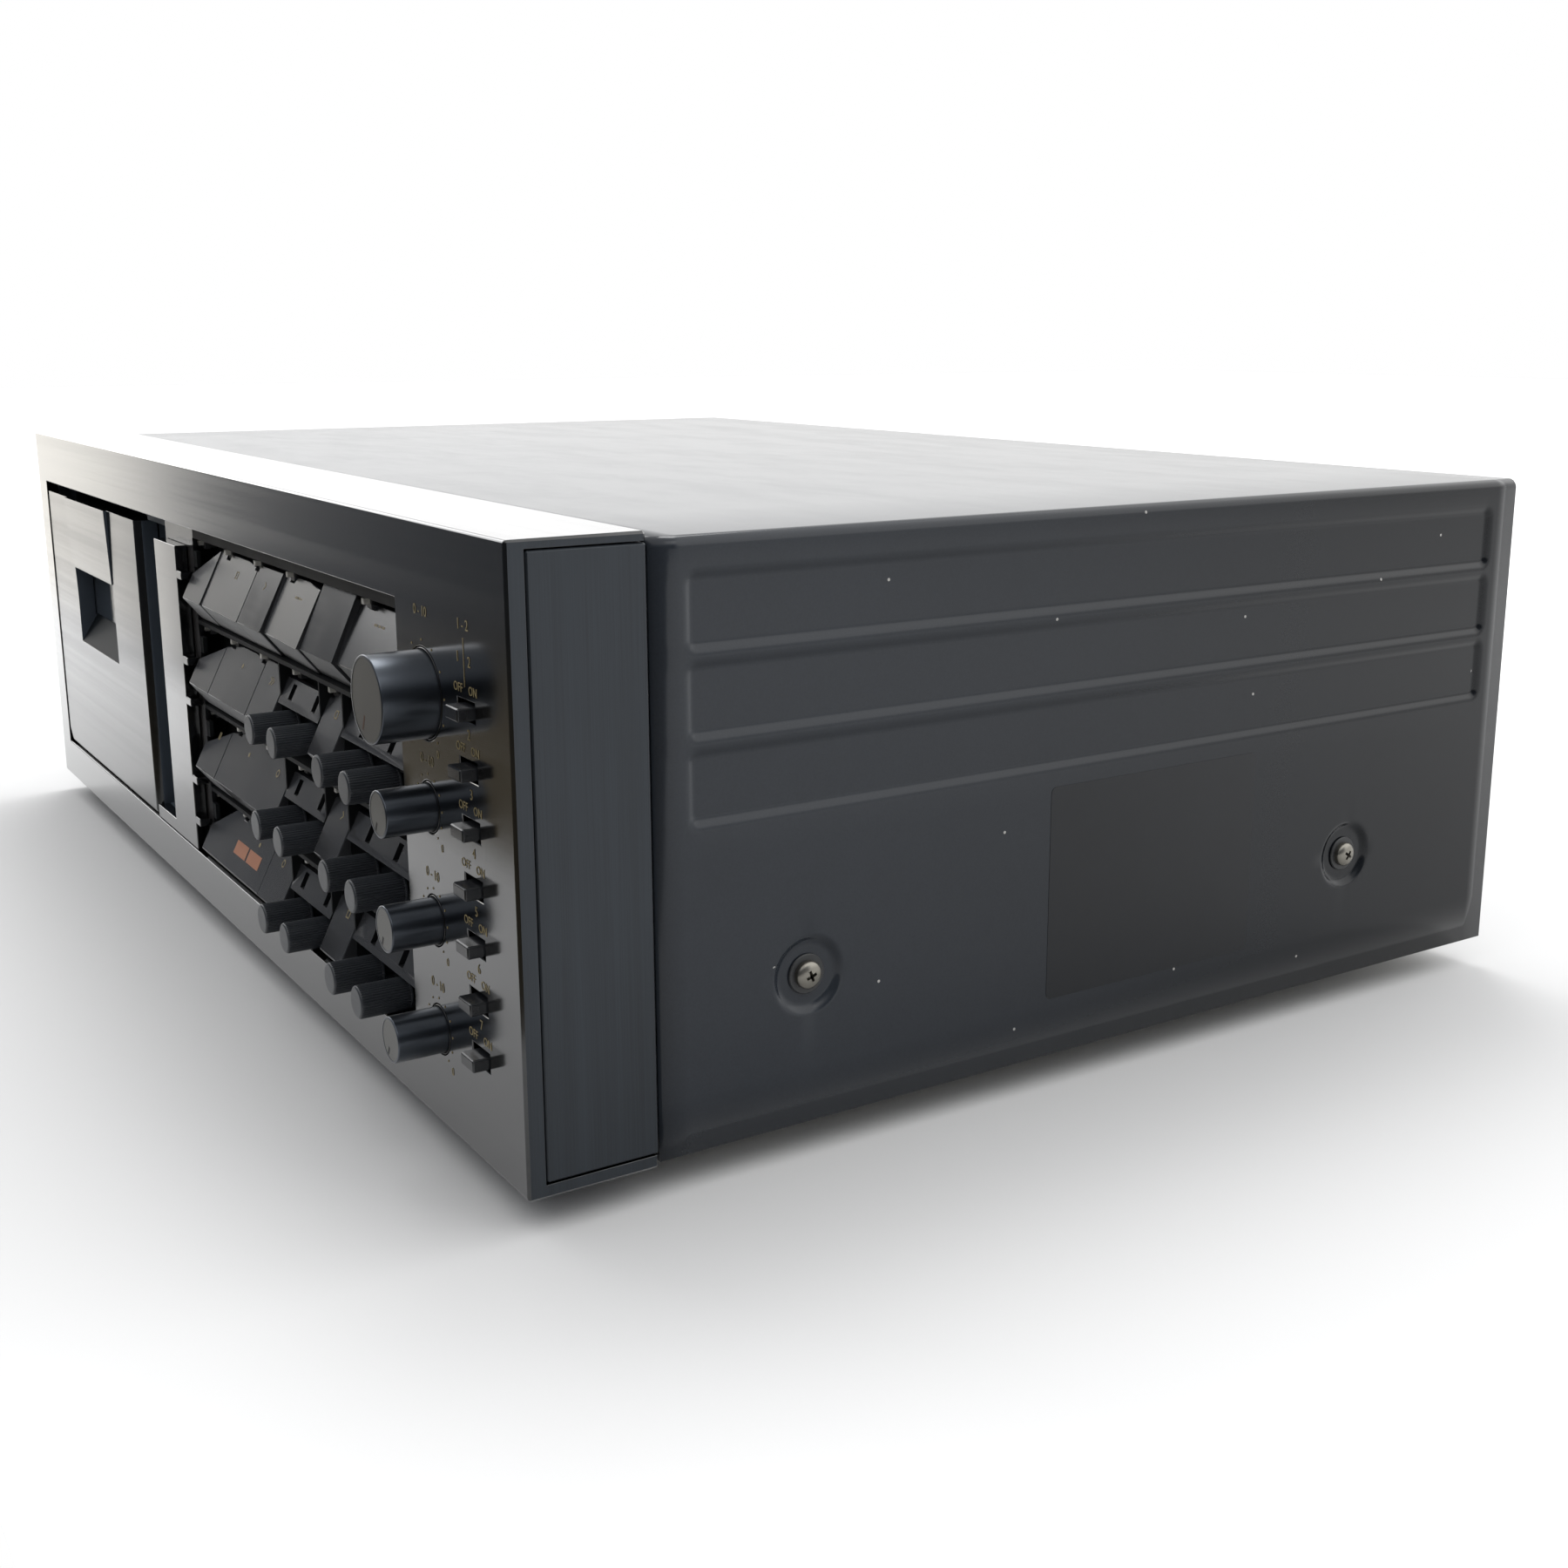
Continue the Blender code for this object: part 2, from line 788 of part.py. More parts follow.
# Cassette well: a deep tray behind the window, with a channel beside the door
well_left = window_left - well_side_margin
well_low = window_bottom - well_side_margin
well_high = window_top + well_side_margin
well_right = bay_block_left - seat_gap
well = finish(
    "cassette_well",
    block_mesh(((well_left, behind_face, well_low), (well_right, well_rear, well_high))),
    housing_black,
    place(0, 0, 0),
)
pocket_half = carrier_half + well_wall
door_space = tool(
    "door_space",
    block_mesh((
        (window_left, behind_face - cut_overrun, window_bottom),
        (door_right + seat_gap, behind_face + well_front_depth, window_top),
    )),
    place(0, 0, 0),
)
boolean(well, door_space)
pocket = tool(
    "well_pocket",
    block_mesh((
        (cassette_x - pocket_half, behind_face, pocket_low),
        (cassette_x + pocket_half, pocket_rear, window_top),
    )),
    place(0, 0, 0),
)
boolean(well, pocket)
channel = tool(
    "well_channel",
    block_mesh((
        (door_right - seat_gap, behind_face - cut_overrun, strip_foot_top),
        (well_right + cut_overrun, behind_face + channel_depth - face_thickness, channel_top),
    )),
    place(0, 0, 0),
)
boolean(well, channel)

# Door: a slab rolled round its hinge line and rounded along its right edge, with a raised wedge
# and a sunk window
door_shape = block_mesh(
    ((door_left, door_front_gap, door_low), (door_right, door_rear, door_top)),
)
roll_turns = [math.pi / 2 * (step + 0.5) / door_roll_steps for step in range(door_roll_steps)]
for turn in roll_turns:
    outward = Vector((0, -math.cos(turn), -math.sin(turn)))
    slice_off(door_shape, Vector((0, door_hinge_y, door_hinge_z)) + outward * door_roll_radius, outward)
edge_centre = Vector((door_right - door_edge_radius, door_front_gap + door_edge_radius, 0))
edge_turns = [math.pi / 2 * (step + 0.5) / door_edge_steps for step in range(door_edge_steps)]
for turn in edge_turns:
    outward = Vector((math.sin(turn), -math.cos(turn), 0))
    slice_off(door_shape, edge_centre + outward * door_edge_radius, outward)
slice_off(
    door_shape,
    Vector((door_left + door_corner_cut, 0, door_low)),
    Vector((-1, 0, -1)).normalized(),
)
hinge_spot = Vector((0, door_hinge_y, door_hinge_z))
bmesh.ops.translate(door_shape, verts=door_shape.verts[:], vec=-hinge_spot)
door = finish("cassette_door", door_shape, door_metal, place(*hinge_spot))

wedge_shape = block_mesh((
    (view_left - wedge_left_frame, door_front_gap - wedge_rise, wedge_low),
    (view_right, door_rear - glass_ledge, door_top),
))
wedge_normal = Vector((0, -(door_top - wedge_low), -wedge_rise)).normalized()
slice_off(wedge_shape, Vector((0, door_front_gap, wedge_low)), wedge_normal)
boolean(door, tool("door_wedge", wedge_shape, place(0, 0, 0)), "UNION")

view_shape = block_mesh((
    (view_left, door_front_gap - wedge_rise - cut_overrun, view_bottom),
    (view_right, door_rear + cut_overrun, view_top),
))
sill_normal = Vector((0, view_sill_rise, -(door_thickness - glass_ledge))).normalized()
slice_off(view_shape, Vector((0, door_front_gap, view_bottom)), sill_normal)
boolean(door, tool("door_view", view_shape, place(0, 0, 0)))

glass_low = view_bottom + view_sill_rise
glass_seat = block_mesh((
    (view_left - glass_ledge - seat_gap, door_rear - glass_thickness - seat_gap, glass_low),
    (view_right + glass_ledge + seat_gap, door_rear + cut_overrun, view_top + glass_ledge + seat_gap),
))
boolean(door, tool("glass_seat", glass_seat, place(0, 0, 0)))

finish(
    "door_window",
    block_mesh((
        (view_left - glass_ledge, door_rear - glass_thickness, glass_low + seat_gap),
        (view_right + glass_ledge, door_rear, view_top + glass_ledge),
    )),
    window_glass,
    place(0, 0, 0),
)

# Carrier on the back of the door: two rails with lips, and a ledge under each end of the cassette
rail_top = carrier_base + cassette_height
rail_low = carrier_base - carrier_wall
for side, label in ((-1, "left"), (1, "right")):
    outer = cassette_x + side * carrier_half
    carrier_parts = (
        ("rail", carrier_inner, door_rear - glass_ledge, rail_top),
        ("lip", carrier_inner - carrier_lip, rail_rear - carrier_lip_thickness, rail_top),
        ("ledge", carrier_inner - carrier_ledge, door_rear - glass_ledge, carrier_base),
    )
    for kind, reach, front, top in carrier_parts:
        inner = cassette_x + side * reach
        block = block_mesh(((min(inner, outer), front, rail_low), (max(inner, outer), rail_rear, top)))
        boolean(door, tool(kind + "_" + label, block, place(0, 0, 0)), "UNION")

# Reel spindles: a finned shaft on a round base, each on its own axis
for side, label in ((-1, "left"), (1, "right")):
    spot = place(cassette_x + side * hub_spacing / 2, pocket_rear - seat_gap, spindle_z)
    base = rod_mesh(spindle_base_radius, -spindle_base_length, 0, small_round_steps)
    spindle = finish("reel_spindle_" + label, base, spindle_plastic, spot)
    pole = bmesh.new()
    matrix = Matrix.Translation((0, -spindle_length / 2, 0)) @ Matrix.Rotation(math.pi / 2, 4, "X")
    bmesh.ops.create_cone(
        pole, cap_ends=True, segments=small_round_steps, radius1=spindle_radius,
        radius2=spindle_radius - spindle_tip_taper, depth=spindle_length, matrix=matrix,
    )
    boolean(spindle, tool("pole_" + label, pole, spot), "UNION")
    for index in range(spindle_fin_count):
        fin = block_mesh((
            (0, -spindle_length + spindle_tip_taper, -spindle_fin_width / 2),
            (spindle_radius + spindle_fin, -spindle_base_length / 2, spindle_fin_width / 2),
        ))
        turn = Matrix.Rotation(2 * math.pi * index / spindle_fin_count, 4, "Y")
        bmesh.ops.transform(fin, matrix=turn, verts=fin.verts[:])
        boolean(spindle, tool("fin_%s_%d" % (label, index), fin, spot), "UNION")

# Head block: a carriage with two heads, under the cassette's open edge
block_low = pocket_low + head_block_rise
block_rear = pocket_rear - seat_gap
heads = finish(
    "head_block",
    block_mesh((
        (cassette_x - head_block_width / 2, block_rear - head_block_depth, block_low),
        (cassette_x + head_block_width / 2, block_rear, block_low + head_block_height),
    )),
    head_metal,
    place(0, 0, 0),
)
head_boxes = []
for side in (-1, 1):
    middle = cassette_x + side * head_spacing / 2
    head_boxes.append((
        (middle - head_width / 2, block_rear - head_block_depth, block_low + head_block_height / 2),
        (middle + head_width / 2, block_rear - tray_sheet, block_low + head_block_height + head_rise),
    ))
boolean(heads, tool("heads", block_mesh(*head_boxes), place(0, 0, 0)), "UNION")

# Comb-edged strip: an upright plate with a foot under the channel, notched along its right edge
strip = finish(
    "comb_strip",
    block_mesh((
        (strip_left, strip_front_gap, door_low),
        (strip_edge + comb_tooth, strip_front_gap + strip_thickness, strip_top),
    )),
    strip_metal,
    place(0, 0, 0),
)
foot_plate = block_mesh((
    (door_right + seat_gap, strip_front_gap, door_low),
    (strip_edge, strip_front_gap + strip_thickness, strip_foot_top),
))
boolean(strip, tool("strip_foot", foot_plate, place(0, 0, 0)), "UNION")
notches = []
upper = strip_top + cut_overrun
for height in (strip_top * share for share in comb_bar_shares):
    notches.append((
        (strip_edge, -cut_overrun, height + comb_bar / 2),
        (strip_edge + comb_tooth + cut_overrun, face_thickness + cut_overrun, upper),
    ))
    upper = height - comb_bar / 2
notches.append((
    (strip_edge, -cut_overrun, door_low - cut_overrun),
    (strip_edge + comb_tooth + cut_overrun, face_thickness + cut_overrun, upper),
))
boolean(strip, tool("comb_notches", block_mesh(*notches), place(0, 0, 0)))

# Housing of the key bay: shelves, flange, ribs and sloped plates in one moulding
bay_right_outer = window_right + bay_rim
bay = finish(
    "key_bay",
    block_mesh((
        (bay_block_left, behind_face, well_low),
        (bay_right_outer, bay_rear, well_high),
    )),
    housing_black,
    place(0, 0, 0),
)
lamp_space_left = bay_left - bay_post_width
row_spaces = []
for row in range(row_count):
    ridge = ridge_height(row)
    low = window_bottom if row == row_count - 1 else ridge - shelf_low
    row_spaces.append((low, ridge + shelf_high))
front_boxes = []
rear_boxes = []
for low, high in row_spaces:
    front_boxes.append((
        (bay_left - key_gap, behind_face - cut_overrun, low),
        (window_right, behind_face + bay_flange + seat_gap, high),
    ))
    rear_boxes.append((
        (lamp_space_left, behind_face + bay_flange, low),
        (window_right, bay_rear + cut_overrun, high),
    ))
boolean(bay, tool("row_mouths", block_mesh(*front_boxes), place(0, 0, 0)))
boolean(bay, tool("row_spaces", block_mesh(*rear_boxes), place(0, 0, 0)))
tabs = []
for row in range(row_count):
    ridge = ridge_height(row)
    tabs.append((
        (bay_left - bay_post_width, behind_face, ridge + ridge_to_top * tab_foot_share),
        (bay_left + tab_reach, behind_face + bay_flange, ridge + ridge_to_top * tab_top_share),
    ))
boolean(bay, tool("bay_tabs", block_mesh(*tabs), place(0, 0, 0)), "UNION")

selector_left = share_x(selector_shares[0])
selector_right = share_x(selector_shares[1])
module_left = share_x(row_key_shares[1][-1])
facet_normal = Vector((0, -ridge_to_top, facet_run)).normalized()


def module_plate_mesh(left, right, ridge):
    """A thin plate that lies in the plane of the keys' upper facets."""
    low = Vector((left, 0, ridge + module_drop))
    high = Vector((right, key_depth, ridge + module_high))
    shape = block_mesh((low, high))
    slice_off(shape, Vector((0, 0, ridge)), facet_normal)
    slice_off(shape, Vector((0, 0, ridge)) - facet_normal * module_plate, -facet_normal)
    return shape


trim_places = [share_x(share) for share in trim_shares]
rib_low = row_spaces[-1][0] - bay_rim / 3
rib_high = row_spaces[1][1] + bay_shelf / 3
ribs = (
    (module_left + key_gap, module_left + key_gap + rib_thickness),
    (selector_left - key_gap - rib_thickness, selector_left - key_gap),
    (selector_right + key_gap, selector_right + key_gap + rib_thickness),
    (window_right - seat_gap - rib_thickness, window_right + bay_rim / 3),
)
for index, (left, right) in enumerate(ribs):
    rib = block_mesh(((left, behind_face, rib_low), (right, bay_rear, rib_high)))
    boolean(bay, tool("rib_%d" % index, rib, place(0, 0, 0)), "UNION")
spans = (
    (ribs[0][0] + rib_thickness / 2, ribs[1][0] + rib_thickness / 2),
    (ribs[2][0] + rib_thickness / 2, window_right - seat_gap),
)
for row in range(1, row_count):
    ridge = ridge_height(row)
    for index, (left, right) in enumerate(spans):
        plate = module_plate_mesh(left, right, ridge)
        boolean(bay, tool("plate_%d_%d" % (row, index), plate, place(0, 0, 0)), "UNION")
    slots = []
    for middle in trim_places:
        slots.append((
            (middle - module_slot_width / 2, 0, ridge + module_slot_low),
            (middle + module_slot_width / 2, bay_rear, ridge + module_slot_high),
        ))
    boolean(bay, tool("plate_slots_%d" % row, block_mesh(*slots), place(0, 0, 0)))


def lamp_places(row):
    """Where a row's light guides stand; a tall key leaves no room for the guide behind it."""
    places = []
    for column in range(lamp_columns):
        if (row, column) not in tall_keys:
            places.append(share_x(lamp_first_share + column * lamp_pitch_share))
    return places


# Lamp board: a back plate with square light guides over the keys
board = finish(
    "lamp_board",
    block_mesh((
        (lamp_space_left - bay_rim / 2, lamp_front, well_low),
        (bay_right_outer, lamp_front + lamp_board_thickness, well_high),
    )),
    lamp_plastic,
    place(0, 0, 0),
)
guides = []
for row in range(row_count):
    for middle_x in lamp_places(row):
        middle_z = ridge_height(row) + lamp_rise
        guides.append((
            (middle_x - lamp_size / 2, lamp_plane, middle_z - lamp_size / 2),
            (middle_x + lamp_size / 2, lamp_front + lamp_board_thickness / 2, middle_z + lamp_size / 2),
        ))
boolean(board, tool("light_guides", block_mesh(*guides), place(0, 0, 0)), "UNION")


def key_mesh(width, drop, top, left_cut, right_cut):
    """A ridged key about its own ridge: two facets meet at the front, corners are cut away."""
    half = width / 2
    shape = block_mesh(((-half, 0, -drop), (half, key_depth, top)))
    slice_off(shape, Vector((0, 0, 0)), facet_normal)
    lower_normal = Vector((0, -lower_facet_drop, -lower_facet_run)).normalized()
    slice_off(shape, Vector((0, 0, 0)), lower_normal)
    if left_cut:
        across, down = left_cut
        normal = Vector((-down, 0, across)).normalized()
        slice_off(shape, Vector((-half, 0, top - down)), normal)
    if right_cut:
        across, down = right_cut
        normal = Vector((down, 0, across)).normalized()
        slice_off(shape, Vector((half, 0, top - down)), normal)
    return shape


def notch_spans(left, right, row):
    """Spans of a key's top that are cut out round the light guides, open to an end close by."""
    spans = []
    for middle in lamp_places(row):
        low = middle - lamp_size / 2 - notch_gap
        high = middle + lamp_size / 2 + notch_gap
        if high - left < seat_gap or right - low < seat_gap:
            continue
        if low - left < notch_wall:
            low = left - cut_overrun
        if right - high < notch_wall:
            high = right + cut_overrun
        spans.append((low, high))
    return spans


def add_key(name, left, right, row, left_cut=None, right_cut=None, tall=False):
    ridge = ridge_height(row)
    drop = lower_facet_drop + key_skirt
    if row == row_count - 1:
        drop = ridge - window_bottom - seat_gap
    top = shelf_high - seat_gap if tall else ridge_to_top
    width = right - left - key_gap
    key = finish(
        name,
        key_mesh(width, drop, top, left_cut, right_cut),
        key_plastic,
        place((left + right) / 2, 0, ridge),
    )
    if not tall:
        boxes = []
        for low, high in notch_spans(left + key_gap / 2, right - key_gap / 2, row):
            boxes.append((
                (low, -cut_overrun, ridge + notch_floor),
                (high, key_depth + cut_overrun, ridge + top + cut_overrun),
            ))
        if boxes:
            boolean(key, tool(name + "_notch", block_mesh(*boxes), place(0, 0, 0)))
    bevel(key, key_edge_round, angle=math.radians(25.0))
    return key


corner_cut = (corner_cut_width, corner_cut_height)
shoulder_cut = (shoulder_width, shoulder_height)
for row, shares in enumerate(row_key_shares):
    edges = [share_x(share) for share in shares]
    for index, (left, right) in enumerate(zip(edges, edges[1:])):
        left_cut = None
        if index == 0:
            across = end_cut_width
            if row in shoulder_rows:
                across = end_cut_drop * (right - left) / (end_cut_drop - shoulder_height)
            left_cut = (across, end_cut_drop)
        elif index == 1 and row in shoulder_rows:
            left_cut = shoulder_cut
        right_cut = corner_cut if index in row_corner_cuts[row] else None
        tall = (row, index) in tall_keys
        add_key("key_%d_%d" % (row + 1, index + 1), left, right, row, left_cut, right_cut, tall)
    if row:
        add_key("selector_key_%d" % (row + 1), selector_left, selector_right, row)


def set_ribbed_ring(face, height, radius, rib):
    """Place a face's corners on a ring, alternately on and inside the given radius."""
    total = 2 * trim_rib_count
    for index, corner in enumerate(face.verts):
        turn = 2 * math.pi * index / total
        reach = radius - rib * (index % 2)
        corner.co = (reach * math.cos(turn), reach * math.sin(turn), height)


def trim_knob_mesh():
    """A straight-ribbed knob on a thin shaft, about its own axis, drawn up ring by ring."""
    tail = trim_reach - trim_length
    levels = (
        (-bay_rear, trim_shaft_radius, 0),
        (tail, trim_shaft_radius, 0),
        (tail, trim_radius, trim_rib_depth),
        (trim_reach - trim_chamfer, trim_radius, trim_rib_depth),
        (trim_reach, trim_radius - trim_chamfer, trim_rib_depth),
    )
    shape = bmesh.new()
    bmesh.ops.create_circle(shape, cap_ends=True, segments=2 * trim_rib_count, radius=trim_shaft_radius)
    face = list(shape.faces)[0]
    set_ribbed_ring(face, *levels[0])
    for step, level in enumerate(levels[1:]):
        drawn = bmesh.ops.extrude_face_region(shape, geom=[face])
        if step:
            bmesh.ops.delete(shape, geom=[face], context="FACES_ONLY")
        face = [part for part in drawn["geom"] if isinstance(part, bmesh.types.BMFace)][0]
        set_ribbed_ring(face, *level)
    return shape


for row in range(1, row_count):
    for index, middle in enumerate(trim_places):
        knob = finish(
            "trim_knob_%d_%d" % (row + 1, index + 1),
            trim_knob_mesh(),
            trim_plastic,
            place(middle, 0, ridge_height(row) + trim_rise),
        )
        face_forward(knob)

# Level knobs: turned, each passing through its hole in the panel, with a cut index mark
for label, radius, reach, height in level_places:
    spot = place(level_column_x, 0, height)
    tail = -(face_thickness + level_tail)
    knob = turned(
        label + "_knob",
        (
            (0, reach),
            (radius - level_chamfer, reach),
            (radius, reach - level_chamfer),
            (radius, tail),
            (level_shaft_radius, tail),
            (level_shaft_radius, tail - level_shaft_length),
            (0, tail - level_shaft_length),
        ),
        knob_metal,
        spot,
    )
    face_forward(knob)
    mark = block_mesh((
        (-mark_width / 2, -reach - cut_overrun, radius * mark_start_share),
        (mark_width / 2, -reach + mark_depth, radius * mark_end_share),
    ))
    bmesh.ops.transform(mark, matrix=Matrix.Rotation(mark_rest_angle, 4, "Y"), verts=mark.verts[:])
    boolean(knob, tool(label + "_mark", mark, spot))
    round_shading(knob)

# Lever switches: a flat lever through each slot, on a slider behind the panel
lever_rest_x = lever_slot_x + (lever_slot_width - lever_width) / 2 - seat_gap
for index in range(lever_count):
    spot = place(lever_rest_x, 0, lever_height_at(index))
    lever = finish(
        "switch_lever_%d" % (index + 1),
        block_mesh((
            (-lever_width / 2, -lever_reach, -lever_height / 2),
            (lever_width / 2, face_thickness + lever_tail, lever_height / 2),
        )),
        lever_plastic,
        spot,
    )
    bevel(lever, lever_edge_round)
    slider = block_mesh((
        (-lever_flange_width / 2, behind_face, -lever_flange_height / 2),
        (lever_flange_width / 2, behind_face + lever_flange_thickness, lever_flange_height / 2),
    ))
    boolean(lever, tool("slider_%d" % (index + 1), slider, spot), "UNION")

# Transformer: a laminated core with its coil swelling out of both faces
core_low = tray_base + tray_sheet + seat_gap
core_high = core_low + transformer_height
core_left = transformer_x - transformer_width / 2
core_right = transformer_x + transformer_width / 2
core_front = transformer_y - transformer_depth / 2
core_rear = transformer_y + transformer_depth / 2
core = finish(
    "transformer",
    block_mesh(((core_left, core_front, core_low), (core_right, core_rear, core_high))),
    core_steel,
    place(0, 0, 0),
)
coil = block_mesh((
    (core_left + coil_inset, core_front - coil_swell, core_low + coil_inset),
    (core_right - coil_inset, core_rear + coil_swell, core_high - coil_inset),
))
boolean(core, tool("coil", coil, place(0, 0, 0)), "UNION")
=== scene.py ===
"""Looks of a wide front-loading cassette deck.

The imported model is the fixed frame. This script gives each of its pieces a finish, rebuilds the
ones whose surface is finer than their solid, and adds screws, printed marks, lamps and light.
Sizes are in metres. Heights are measured from the lower edge of the front panel and depths from
its front face; Panel.at() turns both into world coordinates.
"""
from __future__ import annotations

import json
import logging
import math
from dataclasses import dataclass
from enum import Enum
from typing import Sequence

import bmesh
import bpy
from mathutils import Matrix, Vector


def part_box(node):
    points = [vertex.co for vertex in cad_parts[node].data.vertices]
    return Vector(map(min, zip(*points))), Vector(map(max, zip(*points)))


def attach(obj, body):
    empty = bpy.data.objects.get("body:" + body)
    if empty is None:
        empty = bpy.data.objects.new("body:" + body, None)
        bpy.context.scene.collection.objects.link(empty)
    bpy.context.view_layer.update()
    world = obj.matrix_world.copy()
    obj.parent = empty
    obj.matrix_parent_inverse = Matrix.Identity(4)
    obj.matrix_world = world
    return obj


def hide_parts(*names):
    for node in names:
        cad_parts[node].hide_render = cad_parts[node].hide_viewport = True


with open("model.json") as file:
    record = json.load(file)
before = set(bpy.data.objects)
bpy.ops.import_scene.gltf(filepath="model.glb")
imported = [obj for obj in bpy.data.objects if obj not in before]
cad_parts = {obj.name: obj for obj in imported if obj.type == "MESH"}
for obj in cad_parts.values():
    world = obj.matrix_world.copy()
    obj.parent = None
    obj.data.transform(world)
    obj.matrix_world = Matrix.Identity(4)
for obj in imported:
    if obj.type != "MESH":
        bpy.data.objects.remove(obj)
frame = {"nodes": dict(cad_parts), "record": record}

LOG = logging.getLogger("cassette_deck")
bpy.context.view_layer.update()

BODY_OF = {
    node: body
    for body, nodes in frame["record"]["behaviour"]["bodies"].items()
    for node in nodes
}
SLOT_OF = {part["node"]: part["material_slot"] for part in frame["record"]["subparts"]}

Colour = tuple[float, float, float]
Span = tuple[float, float]
MERGE_DISTANCE = 0.000001
PRINT_THICKNESS = 0.00004
PRINT_LIFT = 0.00002
SQUARE_ON = 0.9  # least part of a unit normal along an axis, for a face square to the axis
LEANING = 0.3  # the same for a face that leans that way
RIGHT = Vector((1, 0, 0))
BACK = Vector((0, 1, 0))
FACET_SLOPE = 2.0  # rise over run of the keys' upper facets
FACET_UP = Vector((0.0, 1.0, FACET_SLOPE)).normalized()
FACET_OUT = Vector((0.0, -FACET_SLOPE, 1.0)).normalized()
METAL_SLOT = "head_metal"
PLASTIC_SLOT = "spindle_plastic"


class Signal:
    """A shader socket that takes part in Python arithmetic."""

    def __init__(self, graph: Graph, socket: bpy.types.NodeSocket) -> None:
        """Hold a socket of a graph.

        Args:
            graph: The node graph that the socket belongs to.
            socket: The output socket that carries the value.
        """
        self.graph = graph
        self.socket = socket

    def _math(self, operation: str, first: Signal | float, second: Signal | float) -> Signal:
        """Return the result of one Math node.

        Args:
            operation: The Math node's operation.
            first: The first operand.
            second: The second operand.

        Returns:
            The node's output as a new signal.
        """
        node = self.graph.node("ShaderNodeMath", {"operation": operation}, {0: first, 1: second})
        return Signal(self.graph, node.outputs[0])

    def __add__(self, other: Signal | float) -> Signal:
        """Return the sum of two values."""
        return self._math("ADD", self, other)

    __radd__ = __add__

    def __sub__(self, other: Signal | float) -> Signal:
        """Return this value less another."""
        return self._math("SUBTRACT", self, other)

    def __rsub__(self, other: Signal | float) -> Signal:
        """Return another value less this one."""
        return self._math("SUBTRACT", other, self)

    def __mul__(self, other: Signal | float) -> Signal:
        """Return the product of two values."""
        return self._math("MULTIPLY", self, other)

    __rmul__ = __mul__

    def above(self, limit: float) -> Signal:
        """Return 1 where the value is over a limit and 0 elsewhere."""
        return self._math("GREATER_THAN", self, limit)

    def below(self, limit: float) -> Signal:
        """Return 1 where the value is under a limit and 0 elsewhere."""
        return self._math("LESS_THAN", self, limit)

    def angle_to(self, other: Signal) -> Signal:
        """Return the angle whose tangent is this value over another, in radians."""
        return self._math("ARCTAN2", self, other)

    def ramp(self, low: float, high: float, start: float = 0.0, end: float = 1.0) -> Signal:
        """Map a span of the value smoothly onto another span.

        Args:
            low: Value that gives the start.
            high: Value that gives the end.
            start: Result at and below the low value.
            end: Result at and above the high value.

        Returns:
            The mapped value.
        """
        node = self.graph.node(
            "ShaderNodeMapRange",
            {"interpolation_type": "SMOOTHSTEP"},
            {"Value": self, "From Min": low, "From Max": high, "To Min": start, "To Max": end},
        )
        return Signal(self.graph, node.outputs["Result"])


